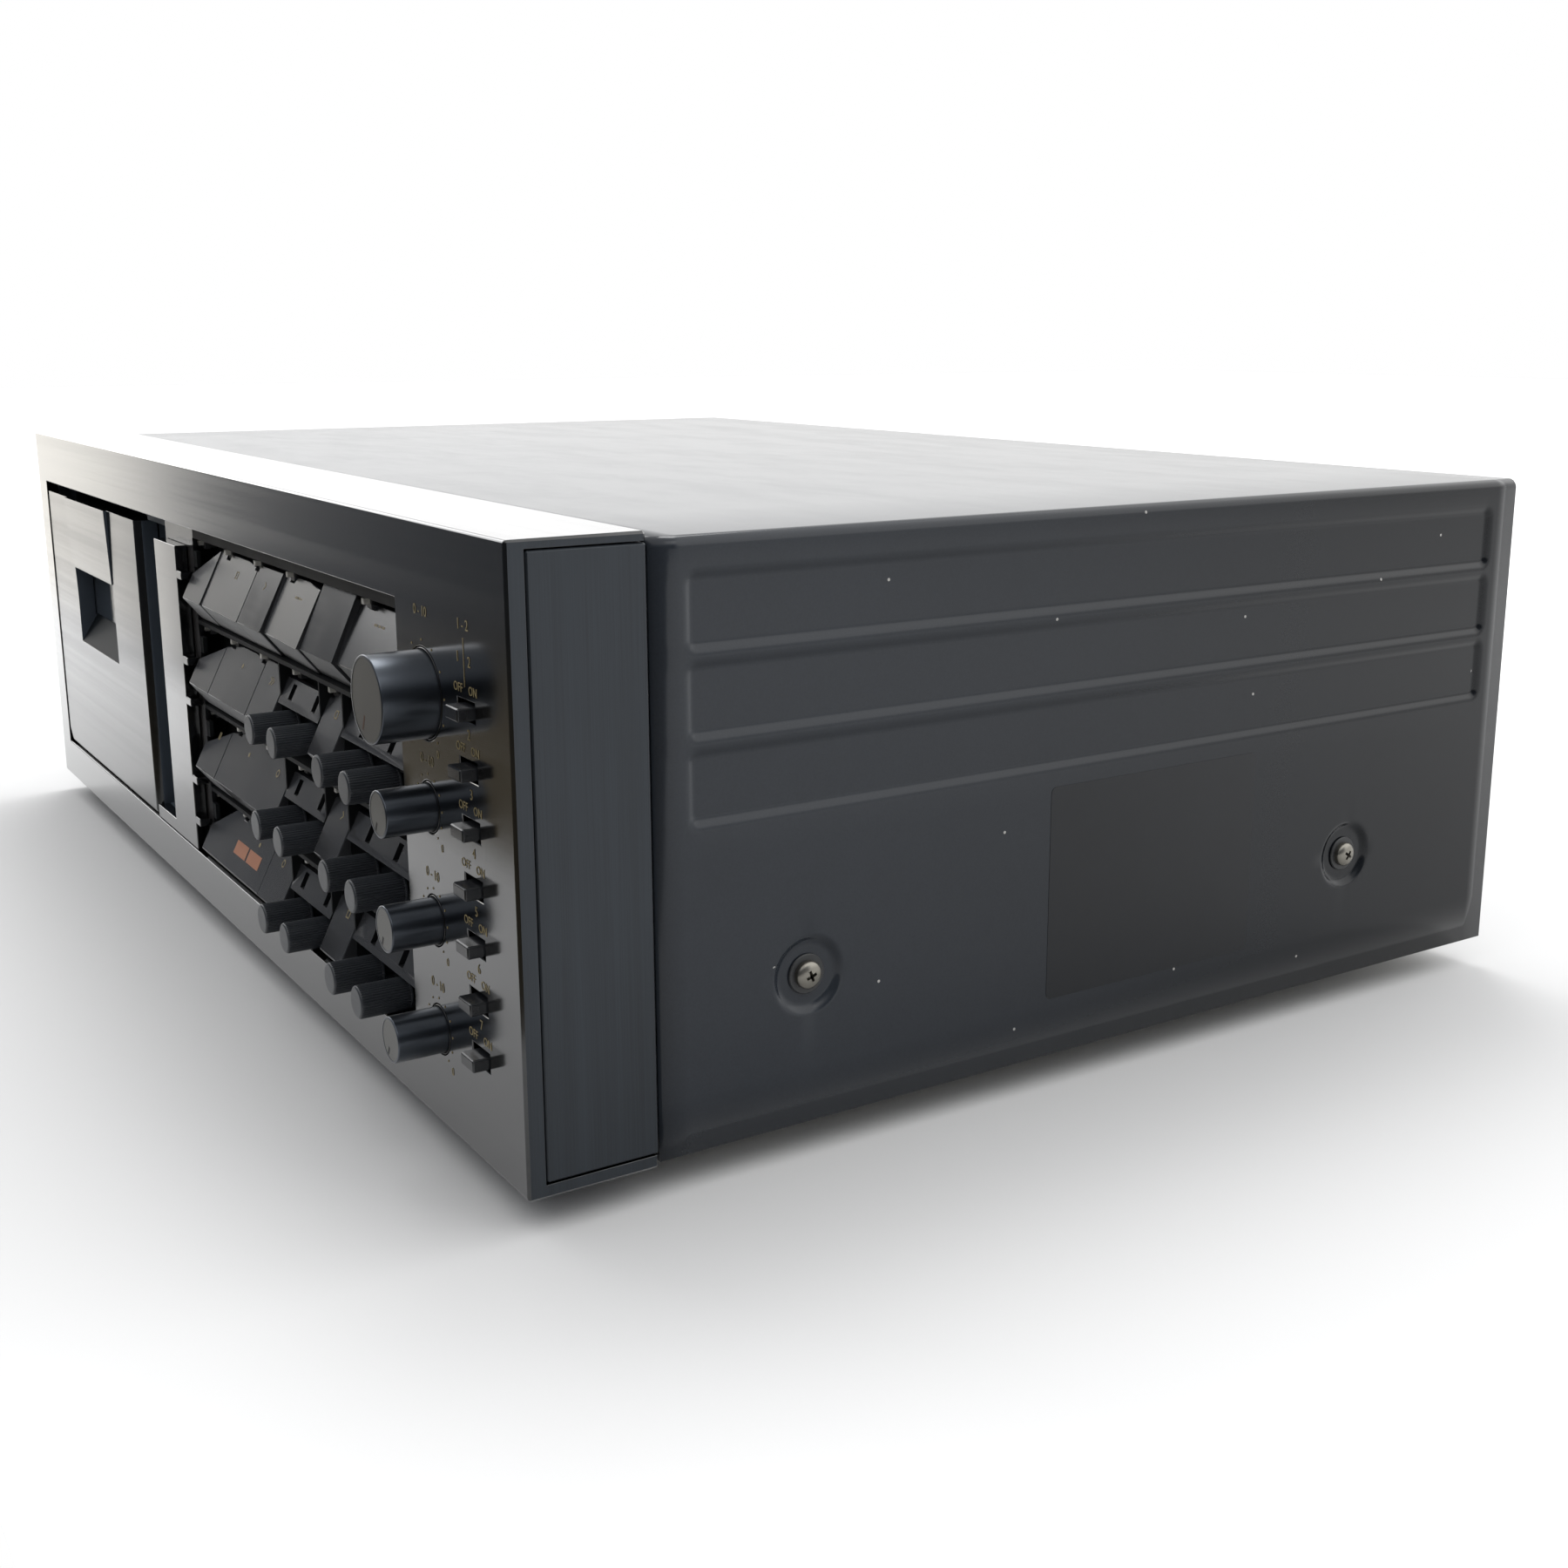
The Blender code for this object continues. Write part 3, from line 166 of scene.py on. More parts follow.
class Graph:
    """The node graph of a material or of the world."""

    def __init__(self, tree: bpy.types.NodeTree) -> None:
        """Start on a node tree.

        Args:
            tree: The tree that takes the nodes.
        """
        self.tree = tree

    def node(
        self,
        kind: str,
        settings: dict[str, object] | None = None,
        inputs: dict[str | int, object] | None = None,
    ) -> bpy.types.Node:
        """Add one node.

        Args:
            kind: The node's type.
            settings: Its own settings, set first.
            inputs: Values or signals of its input sockets.

        Returns:
            The new node.
        """
        made = self.tree.nodes.new(kind)
        for key, value in (settings or {}).items():
            setattr(made, key, value)
        for key, value in (inputs or {}).items():
            if isinstance(value, Signal):
                self.tree.links.new(value.socket, made.inputs[key])
            else:
                made.inputs[key].default_value = value
        return made

    def place(self, scale: Sequence[float] = (1, 1, 1), centre: Sequence[float] = (0, 0, 0)) -> Signal:
        """Return object coordinates about a centre, stretched along the axes.

        Args:
            scale: Factor of each axis.
            centre: Point that becomes the origin.

        Returns:
            The coordinates as a vector signal.
        """
        where = self.node("ShaderNodeTexCoord")
        shift = [-part * factor for part, factor in zip(centre, scale)]
        node = self.node(
            "ShaderNodeMapping",
            {},
            {"Vector": Signal(self, where.outputs["Object"]), "Location": shift, "Scale": tuple(scale)},
        )
        return Signal(self, node.outputs["Vector"])

    def noise(
        self, vector: Signal, scale: float, detail: float = 3.0, roughness: float = 0.55
    ) -> Signal:
        """Return a noise value around one half.

        Args:
            vector: Where it is read.
            scale: Cells per metre.
            detail: Octaves.
            roughness: Weight of the finer octaves.

        Returns:
            The noise value.
        """
        inputs = {"Vector": vector, "Scale": scale, "Detail": detail, "Roughness": roughness}
        return Signal(self, self.node("ShaderNodeTexNoise", {}, inputs).outputs[0])

    def cells(self, vector: Signal, scale: float, flat: bool = False) -> Signal:
        """Return the distance to the nearest scattered point.

        Args:
            vector: Where it is read.
            scale: Points per metre.
            flat: Whether the points lie in the plane of X and Y only.

        Returns:
            The distance, in cells.
        """
        settings = {"voronoi_dimensions": "2D"} if flat else {}
        node = self.node("ShaderNodeTexVoronoi", settings, {"Vector": vector, "Scale": scale})
        return Signal(self, node.outputs["Distance"])

    def vector(self, **parts: Signal) -> Signal:
        """Return a vector made of the components that are named."""
        return Signal(self, self.node("ShaderNodeCombineXYZ", {}, parts).outputs[0])

    def part(self, vector: Signal, axis: str) -> Signal:
        """Return one component of a vector."""
        node = self.node("ShaderNodeSeparateXYZ", {}, {0: vector})
        return Signal(self, node.outputs[axis])

    def length(self, vector: Signal) -> Signal:
        """Return the length of a vector."""
        node = self.node("ShaderNodeVectorMath", {"operation": "LENGTH"}, {0: vector})
        return Signal(self, node.outputs["Value"])

    def blend(self, share: Signal, first: Colour | Signal, second: Colour | Signal) -> Signal:
        """Mix two colours.

        Args:
            share: 0 gives the first colour and 1 the second.
            first: Colour at 0.
            second: Colour at 1.

        Returns:
            The mixed colour.
        """
        colours = [c if isinstance(c, Signal) else (*c, 1.0) for c in (first, second)]
        node = self.node(
            "ShaderNodeMix", {"data_type": "RGBA"}, {0: share, 6: colours[0], 7: colours[1]}
        )
        return Signal(self, node.outputs[2])

    def bump(self, height: Signal, depth: float) -> Signal:
        """Return a normal tilted by a height.

        Args:
            height: The height, from 0 to 1.
            depth: What a height of 1 means, in metres.

        Returns:
            The normal.
        """
        inputs = {"Height": height, "Distance": depth, "Strength": 1.0}
        return Signal(self, self.node("ShaderNodeBump", {}, inputs).outputs["Normal"])


@dataclass(frozen=True)
class Finish:
    """A plain finish, and the base of the others."""

    name: str
    colour: Colour
    roughness: float
    metallic: float = 0.0
    coat: float = 0.0
    coat_roughness: float = 0.15
    specular: float = 0.5

    def material(self) -> bpy.types.Material:
        """Return this finish's material, made the first time it is asked for."""
        made = bpy.data.materials.get(self.name)
        if made is None:
            made = bpy.data.materials.new(self.name)
            made.use_nodes = True
            shader = made.node_tree.nodes["Principled BSDF"]
            shader.inputs["Base Color"].default_value = (*self.colour, 1.0)
            shader.inputs["Roughness"].default_value = self.roughness
            shader.inputs["Metallic"].default_value = self.metallic
            shader.inputs["Coat Weight"].default_value = self.coat
            shader.inputs["Coat Roughness"].default_value = self.coat_roughness
            shader.inputs["Specular IOR Level"].default_value = self.specular
            self.surface(Graph(made.node_tree), shader)
        return made

    def shade(self, factor: float) -> Colour:
        """Return this finish's colour, lighter or darker by a factor."""
        return tuple(min(part * factor, 1.0) for part in self.colour)

    def surface(self, graph: Graph, shader: bpy.types.Node) -> None:
        """Give the surface a faint mottling.

        Args:
            graph: The material's graph.
            shader: Its Principled shader.
        """
        cloud = graph.noise(graph.place(), 90.0)
        self.feed(shader, "Base Color", graph.blend(cloud, self.shade(0.85), self.shade(1.15)))
        grain = graph.noise(graph.place(), 2600.0, 2.0)
        self.feed(shader, "Normal", graph.bump(grain, 0.000002))

    def feed(self, shader: bpy.types.Node, name: str, value: Signal) -> None:
        """Link a signal to one of the shader's sockets."""
        value.graph.tree.links.new(value.socket, shader.inputs[name])


class Grain(Enum):
    """The way a metal was brushed, as the stretch of its noise along X, Y and Z."""

    ALONG_X = (0.006, 1.0, 1.0)
    ALONG_Z = (1.0, 1.0, 0.006)


@dataclass(frozen=True)
class BrushedMetal(Finish):
    """Anodised aluminium with fine parallel scratches and a few broader streaks."""

    grain: Grain = Grain.ALONG_X
    scratch_pitch: float = 0.00022
    streak_pitch: float = 0.0035
    depth: float = 0.0000010
    contrast: float = 0.25

    def surface(self, graph: Graph, shader: bpy.types.Node) -> None:
        """Brush the metal: scratches tilt the surface, streaks change its tone and gloss."""
        along = graph.place(self.grain.value)
        fine = graph.noise(along, 1.0 / self.scratch_pitch, 4.0, 0.65)
        broad = graph.noise(along, 1.0 / self.streak_pitch, 3.0, 0.6)
        handled = graph.noise(graph.place(), 28.0, 2.0)
        tone = (fine * 0.45 + broad * 0.4 + handled * 0.15).ramp(0.32, 0.68)
        dark = self.shade(1.0 - self.contrast)
        bright = self.shade(1.0 + self.contrast)
        self.feed(shader, "Base Color", graph.blend(tone, dark, bright))
        gloss = broad.ramp(0.3, 0.7, self.roughness - 0.03, self.roughness + 0.03)
        self.feed(shader, "Roughness", gloss)
        self.feed(shader, "Normal", graph.bump(fine, self.depth))


@dataclass(frozen=True)
class TexturedPaint(Finish):
    """Baked paint with a fine sand-like texture, handling marks, a few specks of dust and painted shade
    that darkens it towards the rear.
    """

    grit_pitch: float = 0.00045
    grit_depth: float = 0.0000025
    speck_pitch: float = 0.036
    speck_size: float = 0.010
    painted_shade_start: float = -0.10
    painted_shade_end: float = 0.15
    dust: Colour = (0.42, 0.41, 0.39)

    def surface(self, graph: Graph, shader: bpy.types.Node) -> None:
        """Give the paint its grit, its uneven tone, its painted shade towards the rear and its specks.
        """
        where = graph.place()
        grit = graph.noise(where, 1.0 / self.grit_pitch, 3.0, 0.6)
        cloud = graph.noise(where, 14.0, 4.0, 0.6)
        rubbed = graph.noise(graph.place((0.35, 1.0, 1.0)), 55.0, 5.0, 0.7)
        tone = (grit * 0.5 + cloud * 0.25 + rubbed * 0.25).ramp(0.3, 0.7)
        along, up = graph.part(where, "Y"), graph.part(where, "Z")
        # Painted shade: the colour drops to about a quarter of itself from the front of the deck
        # towards the rear.
        paint = graph.blend(
            along.ramp(self.painted_shade_start, self.painted_shade_end),
            graph.blend(tone, self.shade(0.92), self.shade(1.12)),
            graph.blend(tone, self.shade(0.24), self.shade(0.32)),
        )
        side = graph.vector(X=along, Y=up)
        speck = graph.cells(side, 1.0 / self.speck_pitch, True).below(self.speck_size)
        speck = speck * graph.noise(where, 60.0, 1.0).above(0.52)
        self.feed(shader, "Base Color", graph.blend(speck * 0.8, paint, self.dust))
        gloss = rubbed.ramp(0.35, 0.75, self.roughness - 0.01, self.roughness + 0.02)
        self.feed(shader, "Roughness", gloss)
        self.feed(shader, "Normal", graph.bump(grit, self.grit_depth))


@dataclass(frozen=True)
class SatinPlastic(Finish):
    """Moulded plastic with a faint spark-eroded texture and a touch of handling gloss."""

    texture_pitch: float = 0.0003
    texture_depth: float = 0.00000015
    streak_pitch: float = 0.0006
    contrast: float = 0.10

    def surface(self, graph: Graph, shader: bpy.types.Node) -> None:
        """Give the plastic its fine texture and uneven sheen."""
        where = graph.place()
        erosion = graph.noise(where, 1.0 / self.texture_pitch, 2.0)
        touch = graph.noise(where, 60.0, 2.0, 0.5)
        streak = graph.noise(graph.place((0.03, 1.0, 1.0)), 1.0 / self.streak_pitch, 2.0)
        tone = (touch * 0.7 + streak * 0.3).ramp(0.3, 0.7)
        dark, pale = self.shade(1 - self.contrast), self.shade(1 + self.contrast)
        self.feed(shader, "Base Color", graph.blend(tone, dark, pale))
        gloss = tone.ramp(0.2, 0.8, self.roughness + 0.015, self.roughness - 0.015)
        self.feed(shader, "Roughness", gloss)
        self.feed(shader, "Normal", graph.bump(erosion, self.texture_depth))


@dataclass(frozen=True)
class SpunMetal(Finish):
    """Metal turned on a lathe: rings about an axis along Y through a centre."""

    centre: Colour = (0.0, 0.0, 0.0)
    ring_pitch: float = 0.00016
    depth: float = 0.0000012

    def surface(self, graph: Graph, shader: bpy.types.Node) -> None:
        """Draw the tool's rings round the axis."""
        flat = graph.place((1.0, 0.0, 1.0), self.centre)
        radius = graph.length(flat)
        rings = graph.noise(graph.vector(X=radius), 1.0 / self.ring_pitch, 3.0, 0.7)
        tone = rings.ramp(0.3, 0.7)
        self.feed(shader, "Base Color", graph.blend(tone, self.shade(0.8), self.shade(1.2)))
        self.feed(shader, "Normal", graph.bump(rings, self.depth))


@dataclass(frozen=True)
class ZincPlate(Finish):
    """Plated sheet with a loose pattern of crystals."""

    def surface(self, graph: Graph, shader: bpy.types.Node) -> None:
        """Give the sheet its crystals and its uneven gloss."""
        where = graph.place()
        crystal = graph.cells(where, 160.0)
        film = graph.noise(where, 35.0, 4.0)
        tone = (crystal * 0.5 + film * 0.5).ramp(0.2, 0.7)
        self.feed(shader, "Base Color", graph.blend(tone, self.shade(0.8), self.shade(1.1)))
        self.feed(shader, "Roughness", film.ramp(0.3, 0.7, self.roughness, self.roughness + 0.15))


@dataclass(frozen=True)
class PaperFinish(Finish):
    """Matt paper with a barely visible tooth, darker close to the object as painted shade round it, and
    whiter far away from it.
    """

    near: float = 0.12
    far: float = 0.95
    away: Colour = (0.96, 0.96, 0.96)

    def surface(self, graph: Graph, shader: bpy.types.Node) -> None:
        """Give the paper its tooth, its painted shade near the object and its whiter surround."""
        tooth = graph.noise(graph.place(), 1500.0, 2.0)
        paper = graph.blend(tooth, self.shade(0.99), self.shade(1.01))
        # Painted shade: the paper keeps its darker colour close to the object and turns whiter with
        # distance.
        distance = graph.length(graph.place((1.0, 1.0, 0.0)))
        share = distance.ramp(self.near, self.far)
        self.feed(shader, "Base Color", graph.blend(share, paper, self.away))


@dataclass(frozen=True)
class SmokedGlass(Finish):
    """Clear plastic tinted grey, for the door's window."""

    tint: float = 0.70

    def surface(self, graph: Graph, shader: bpy.types.Node) -> None:
        """Let part of the light through."""
        shader.inputs["Alpha"].default_value = self.tint
        haze = graph.noise(graph.place(), 60.0)
        gloss = haze.ramp(0.3, 0.7, self.roughness, self.roughness + 0.05)
        self.feed(shader, "Roughness", gloss)


PANEL_METAL = BrushedMetal("black_anodised_panel", (0.030, 0.031, 0.032), 0.13, 1.0, 0.9)
DOOR_METAL = BrushedMetal("black_anodised_door", (0.032, 0.033, 0.034), 0.18, 1.0, 0.4)
POCKET_PAINTED_SHADE = Finish("door_pocket_painted_shade", (0.006, 0.008, 0.010), 0.50, specular=0.15)
STRIP_METAL = BrushedMetal("black_anodised_strip", (0.036, 0.037, 0.038), 0.18, 1.0, 0.9)
CAP_METAL = BrushedMetal(
    "black_anodised_cap", (0.018, 0.0225, 0.028), 0.40, 0.4, grain=Grain.ALONG_Z
)
COVER_PAINT = TexturedPaint(
    "textured_cover_paint", (0.020, 0.0235, 0.029), 0.17, coat=0.15, specular=0.18
)
REAR_PAINT = TexturedPaint("rear_panel_paint", (0.024, 0.026, 0.029), 0.40)
TRAY_ZINC = ZincPlate("zinc_plated_tray", (0.46, 0.45, 0.41), 0.36, 0.9)
FOOT_RUBBER = SatinPlastic("foot_rubber_black", (0.018, 0.018, 0.019), 0.75)
WELL_PLASTIC = SatinPlastic("cassette_well_plastic", (0.060, 0.078, 0.098), 0.55)
HOUSING = SatinPlastic("housing_plastic", (0.008, 0.009, 0.010), 0.60, specular=0.2)
BAR_PLASTIC = SatinPlastic("housing_bar_plastic", (0.050, 0.047, 0.047), 0.20, coat=0.5)
KEY_PLASTIC = SatinPlastic("key_plastic_grey", (0.042, 0.043, 0.046), 0.24, specular=0.45)
# Painted shade: a darker copy of the key plastic for keys that rest at a slight tilt and catch less
# light.
KEY_PLASTIC_PAINTED_SHADE = SatinPlastic("key_plastic_painted_shade", (0.030, 0.031, 0.033), 0.20, specular=0.34)
KEY_LOWER_PAINTED_LIGHT = SatinPlastic("key_lower_facet_painted_light", (0.225, 0.229, 0.234), 0.40)
KEY_FLANK_PAINTED_SHADE = SatinPlastic("key_flank_painted_shade", (0.010, 0.011, 0.012), 0.42, specular=0.2)
DOOR_FLANK = Finish("black_anodised_door_edge", (0.055, 0.068, 0.086), 0.50, specular=0.25)
LEVER_PLASTIC = Finish("lever_plastic_black", (0.013, 0.014, 0.016), 0.24)
TRIM_PLASTIC = SatinPlastic("trim_knob_plastic", (0.038, 0.042, 0.048), 0.32)
KNOB_METAL = Finish("satin_knob_metal", (0.060, 0.069, 0.083), 0.30, 0.9, 0.3, 0.25)
WINDOW = SmokedGlass("smoked_window", (0.065, 0.078, 0.096), 0.06)
LAMP = SatinPlastic("light_guide_cream", (0.80, 0.78, 0.72), 0.45)
GUIDE_GREY = SatinPlastic("light_guide_sleeve", (0.100, 0.100, 0.102), 0.45)
BOARD = SatinPlastic("board_dark", (0.012, 0.013, 0.013), 0.55)
SPINDLE = SatinPlastic("spindle_plastic_grey", (0.20, 0.20, 0.19), 0.40)
HEAD_METAL = Finish("polished_head_metal", (0.45, 0.44, 0.41), 0.22, 0.95)
CORE_STEEL = BrushedMetal(
    "laminated_core", (0.16, 0.15, 0.14), 0.5, 0.6, scratch_pitch=0.0007, streak_pitch=0.004
)
SCREW_METAL = Finish("bronzed_screw_metal", (0.20, 0.19, 0.165), 0.30, 0.9)
WASHER_METAL = Finish("dark_washer_metal", (0.022, 0.023, 0.024), 0.45, 0.2)
NICKEL = Finish("nickel_plate", (0.56, 0.54, 0.50), 0.25, 0.95)
LIP_METAL = Finish("hole_lip_metal", (0.045, 0.045, 0.045), 0.25, 0.95)
RED_PLASTIC = SatinPlastic("socket_red", (0.42, 0.03, 0.03), 0.40)
WHITE_PLASTIC = SatinPlastic("socket_white", (0.62, 0.62, 0.60), 0.40)
GOLD_INK = Finish("print_ochre", (0.30, 0.24, 0.12), 0.55)
ORANGE_INK = Finish("print_orange", (0.40, 0.16, 0.08), 0.50)
MARK_INK = Finish("index_groove", (0.008, 0.008, 0.008), 0.60)
BROWN_INK = Finish("index_brown", (0.080, 0.038, 0.022), 0.55)
LABEL_FILM = Finish("clear_film", (0.0080, 0.0092, 0.0112), 0.19, coat=0.15, specular=0.20)


@dataclass(frozen=True)
class Panel:
    """Where the front panel stands, so that places can be given on its face."""

    face: float
    base: float

    @classmethod
    def measured(cls) -> Panel:
        """Return the place of the front panel in the frame."""
        low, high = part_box("front_panel")
        return cls(low.y, low.z)

    def at(self, across: float, depth: float, height: float) -> Vector:
        """Return a world point from a place on the panel.

        Args:
            across: Distance to the right of the middle.
            depth: Distance behind the face.
            height: Height above the panel's lower edge.

        Returns:
            The point.
        """
        return Vector((across, self.face + depth, self.base + height))


PANEL = Panel.measured()


@dataclass(frozen=True)
class Turned:
    """The place and size of a round node whose axis lies along Y."""

    centre: Vector
    radius: float
    length: float

    @classmethod
    def of(cls, node: str) -> Turned:
        """Measure a node.

        Args:
            node: The node's name.

        Returns:
            The middle of its front end, its radius and its length.
        """
        low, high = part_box(node)
        centre = Vector(((low.x + high.x) / 2, low.y, (low.z + high.z) / 2))
        return cls(centre, (high.x - low.x) / 2, high.y - low.y)


def add_piece(
    name: str,
    shape: bmesh.types.BMesh,
    finishes: Finish | Sequence[Finish],
    node: str,
    slot: str = "",
    stands_in: bool = False,
    crease: float = 32.0,
    flat: bool = True,
) -> bpy.types.Object:
    """Turn a bmesh into a finished piece that moves with a CAD node.

    Args:
        name: The piece's name.
        shape: Its mesh in world coordinates; it is freed.
        finishes: Its finish, or one for each material number.
        node: The CAD node whose body it rides on.
        slot: The record's material slot that it belongs to, if it isn't the node's; it is worked out
            but not used.
        stands_in: Whether it replaces the node.
        crease: Edges sharper than this many degrees stay sharp.
        flat: Whether its large faces are kept flat in the shading.

    Returns:
        The piece.
    """
    body, slot = BODY_OF[node], slot or SLOT_OF[node]
    replaced = [node] if stands_in else []
    mesh = bpy.data.meshes.new(name)
    shape.to_mesh(mesh)
    shape.free()
    mesh.shade_smooth()
    mesh.set_sharp_from_angle(angle=math.radians(crease))
    for finish in [finishes] if isinstance(finishes, Finish) else finishes:
        mesh.materials.append(finish.material())
    piece = bpy.data.objects.new(name, mesh)
    bpy.context.scene.collection.objects.link(piece)
    if flat:
        level = piece.modifiers.new("flat_faces", "WEIGHTED_NORMAL")
        level.keep_sharp = True
    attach(piece, body)
    if replaced:
        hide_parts(*replaced)
    LOG.info("%s: %d faces on %s", name, len(mesh.polygons), body)
    return piece


def closed(shape: bmesh.types.BMesh) -> bmesh.types.BMesh:
    """Merge a shape's doubles and turn its faces outwards.

    Args:
        shape: The mesh.

    Returns:
        The same mesh.
    """
    bmesh.ops.remove_doubles(shape, verts=shape.verts[:], dist=MERGE_DISTANCE)
    bmesh.ops.recalc_face_normals(shape, faces=shape.faces[:])
    if shape.calc_volume(signed=True) < 0:
        bmesh.ops.reverse_faces(shape, faces=shape.faces[:])
    return shape


def round_edges(
    shape: bmesh.types.BMesh,
    width: float,
    segments: int = 2,
    angle: float = 30.0,
    span: Span = (-math.inf, math.inf),
    reach: float = math.inf,
) -> None:
    """Round every edge that is sharper than an angle.

    Args:
        shape: The mesh.
        width: Width of the rounding.
        segments: Steps across it.
        angle: Least angle, in degrees.
        span: Least and greatest Y of the edges that are rounded.
        reach: Greatest distance of their middles from the plane x = 0.
    """
    limit = math.radians(angle)
    sharp = [
        e for e in shape.edges
        if e.is_manifold and e.calc_face_angle(0.0) > limit
        and all(span[0] < corner.co.y < span[1] for corner in e.verts)
        and abs(e.verts[0].co.x + e.verts[1].co.x) / 2 < reach
    ]
    bmesh.ops.bevel(
        shape, geom=sharp, offset=width, offset_type="OFFSET", segments=segments, profile=0.5,
        affect="EDGES", clamp_overlap=True, material=-1,
    )


def dressed(node: str) -> bmesh.types.BMesh:
    """Return a merged copy of a CAD node's mesh, its flat faces joined again.

    Args:
        node: The node's name.

    Returns:
        The copy.
    """
    shape = bmesh.new()
    shape.from_mesh(frame["nodes"][node].data)
    bmesh.ops.remove_doubles(shape, verts=shape.verts[:], dist=MERGE_DISTANCE)
    bmesh.ops.dissolve_limit(
        shape, angle_limit=math.radians(0.5), verts=shape.verts[:], edges=shape.edges[:]
    )
    return shape


def spun(
    profile: Sequence[Span], centre: Vector, axis: Vector, steps: int = 96
) -> bmesh.types.BMesh:
    """Turn a profile round an axis.

    Args:
        profile: Pairs of a radius and a distance along the axis, from end to end.
        centre: Point on the axis where the distance is zero.
        axis: The axis.
        steps: Steps of the turn.

    Returns:
        The turned shape, closed where its profile starts and ends on the axis.
    """
    shape = bmesh.new()
    side = axis.orthogonal().normalized()
    dots = [shape.verts.new(centre + side * radius + axis * along) for radius, along in profile]
    for first, second in zip(dots, dots[1:]):
        shape.edges.new((first, second))
    bmesh.ops.spin(
        shape, geom=shape.verts[:] + shape.edges[:], cent=centre, axis=axis,
        angle=math.tau, steps=steps, use_merge=True, use_duplicate=False,
    )
    return closed(shape)


def box_shape(low: Vector, high: Vector, rounding: float = 0.0, segments: int = 2) -> bmesh.types.BMesh:
    """Return a box between two corners, its edges rounded if asked.

    Args:
        low: Lowest corner.
        high: Highest corner.
        rounding: Width of the rounding.
        segments: Steps across it.

    Returns:
        The box.
    """
    shape = bmesh.new()
    size = Matrix.Diagonal((*(high - low), 1.0))
    bmesh.ops.create_cube(shape, size=1.0, matrix=Matrix.Translation((low + high) / 2) @ size)
    if rounding:
        round_edges(shape, rounding, segments)
    return shape


def arc(centre: Span, radius: float, start: float, end: float, steps: int) -> list[Span]:
    """Return points on an arc.

    Args:
        centre: Its centre.
        radius: Its radius.
        start: First angle in degrees.
        end: Last angle in degrees.
        steps: Number of steps.

    Returns:
        The points, ends included.
    """
    turns = [math.radians(start + (end - start) * step / steps) for step in range(steps + 1)]
    return [(centre[0] + radius * math.cos(t), centre[1] + radius * math.sin(t)) for t in turns]


def rectangle(shape: bmesh.types.BMesh, wide: float, high: float, place: Matrix = Matrix()) -> None:
    """Add a flat rectangle to a shape.

    Args:
        shape: The mesh.
        wide: Its size along X.
        high: Its size along Y.
        place: Where its middle and its plane go.
    """
    size = Matrix.Diagonal((wide, high, 1.0, 1.0))
    bmesh.ops.create_grid(shape, x_segments=1, y_segments=1, size=0.5, matrix=place @ size)


def split(
    shape: bmesh.types.BMesh, point: Vector, normal: Vector, drop: bool = False
) -> list[bmesh.types.BMEdge]:
    """Split a shape's faces along a plane.

    Args:
        shape: The mesh.
        point: A point of the plane.
        normal: The plane's normal.
        drop: Whether what lies beyond the plane is cut away.

    Returns:
        The edges in the plane.
    """
    done = bmesh.ops.bisect_plane(
        shape, geom=shape.verts[:] + shape.edges[:] + shape.faces[:], dist=MERGE_DISTANCE,
        plane_co=point, plane_no=normal, clear_outer=drop,
    )
    return [item for item in done["geom_cut"] if isinstance(item, bmesh.types.BMEdge)]


def join(target: bmesh.types.BMesh, source: bmesh.types.BMesh) -> None:
    """Add a shape to another and free it.

    Args:
        target: The shape that grows.
        source: The shape that is added.
    """
    mesh = bpy.data.meshes.new("join")
    source.to_mesh(mesh)
    source.free()
    target.from_mesh(mesh)
    bpy.data.meshes.remove(mesh)


def cut(shape: bmesh.types.BMesh, cutter: bmesh.types.BMesh) -> bmesh.types.BMesh:
    """Subtract a closed shape from another.

    Args:
        shape: The shape that is cut; it is freed.
        cutter: The shape that cuts; it is freed.

    Returns:
        The cut shape.
    """
    objects = []
    for part in (shape, cutter):
        mesh = bpy.data.meshes.new("cut")
        part.to_mesh(mesh)
        part.free()
        item = bpy.data.objects.new("cut", mesh)
        bpy.context.scene.collection.objects.link(item)
        objects.append(item)
    step = objects[0].modifiers.new("cut", "BOOLEAN")
    step.object = objects[1]
    step.solver = "EXACT"
    evaluated = objects[0].evaluated_get(bpy.context.evaluated_depsgraph_get())
    done = bmesh.new()
    done.from_mesh(evaluated.to_mesh())
    evaluated.to_mesh_clear()
    for item in objects:
        mesh = item.data
        bpy.data.objects.remove(item)
        bpy.data.meshes.remove(mesh)
    return done


@dataclass
class PlainParts:
    """Nodes whose solid is right: they only get rounded edges and their finish."""

    finishes: tuple[tuple[str, Finish, float], ...] = (
        ("side_cap_left", CAP_METAL, 0.00010),
        ("side_cap_right", CAP_METAL, 0.00010),
        ("chassis_tray", TRAY_ZINC, 0.00022),
        ("cassette_well", WELL_PLASTIC, 0.00022),
        ("head_block", HEAD_METAL, 0.0003),
        ("reel_spindle_left", SPINDLE, 0.00012),
        ("reel_spindle_right", SPINDLE, 0.00012),
        ("transformer", CORE_STEEL, 0.0004),
        ("door_window", WINDOW, 0.0001),
    )

    def build(self) -> None:
        """Dress each node in its finish."""
        for node, finish, edge in self.finishes:
            shape = dressed(node)
            round_edges(shape, edge)
            add_piece(node + "_dressed", shape, finish, node, stands_in=True)


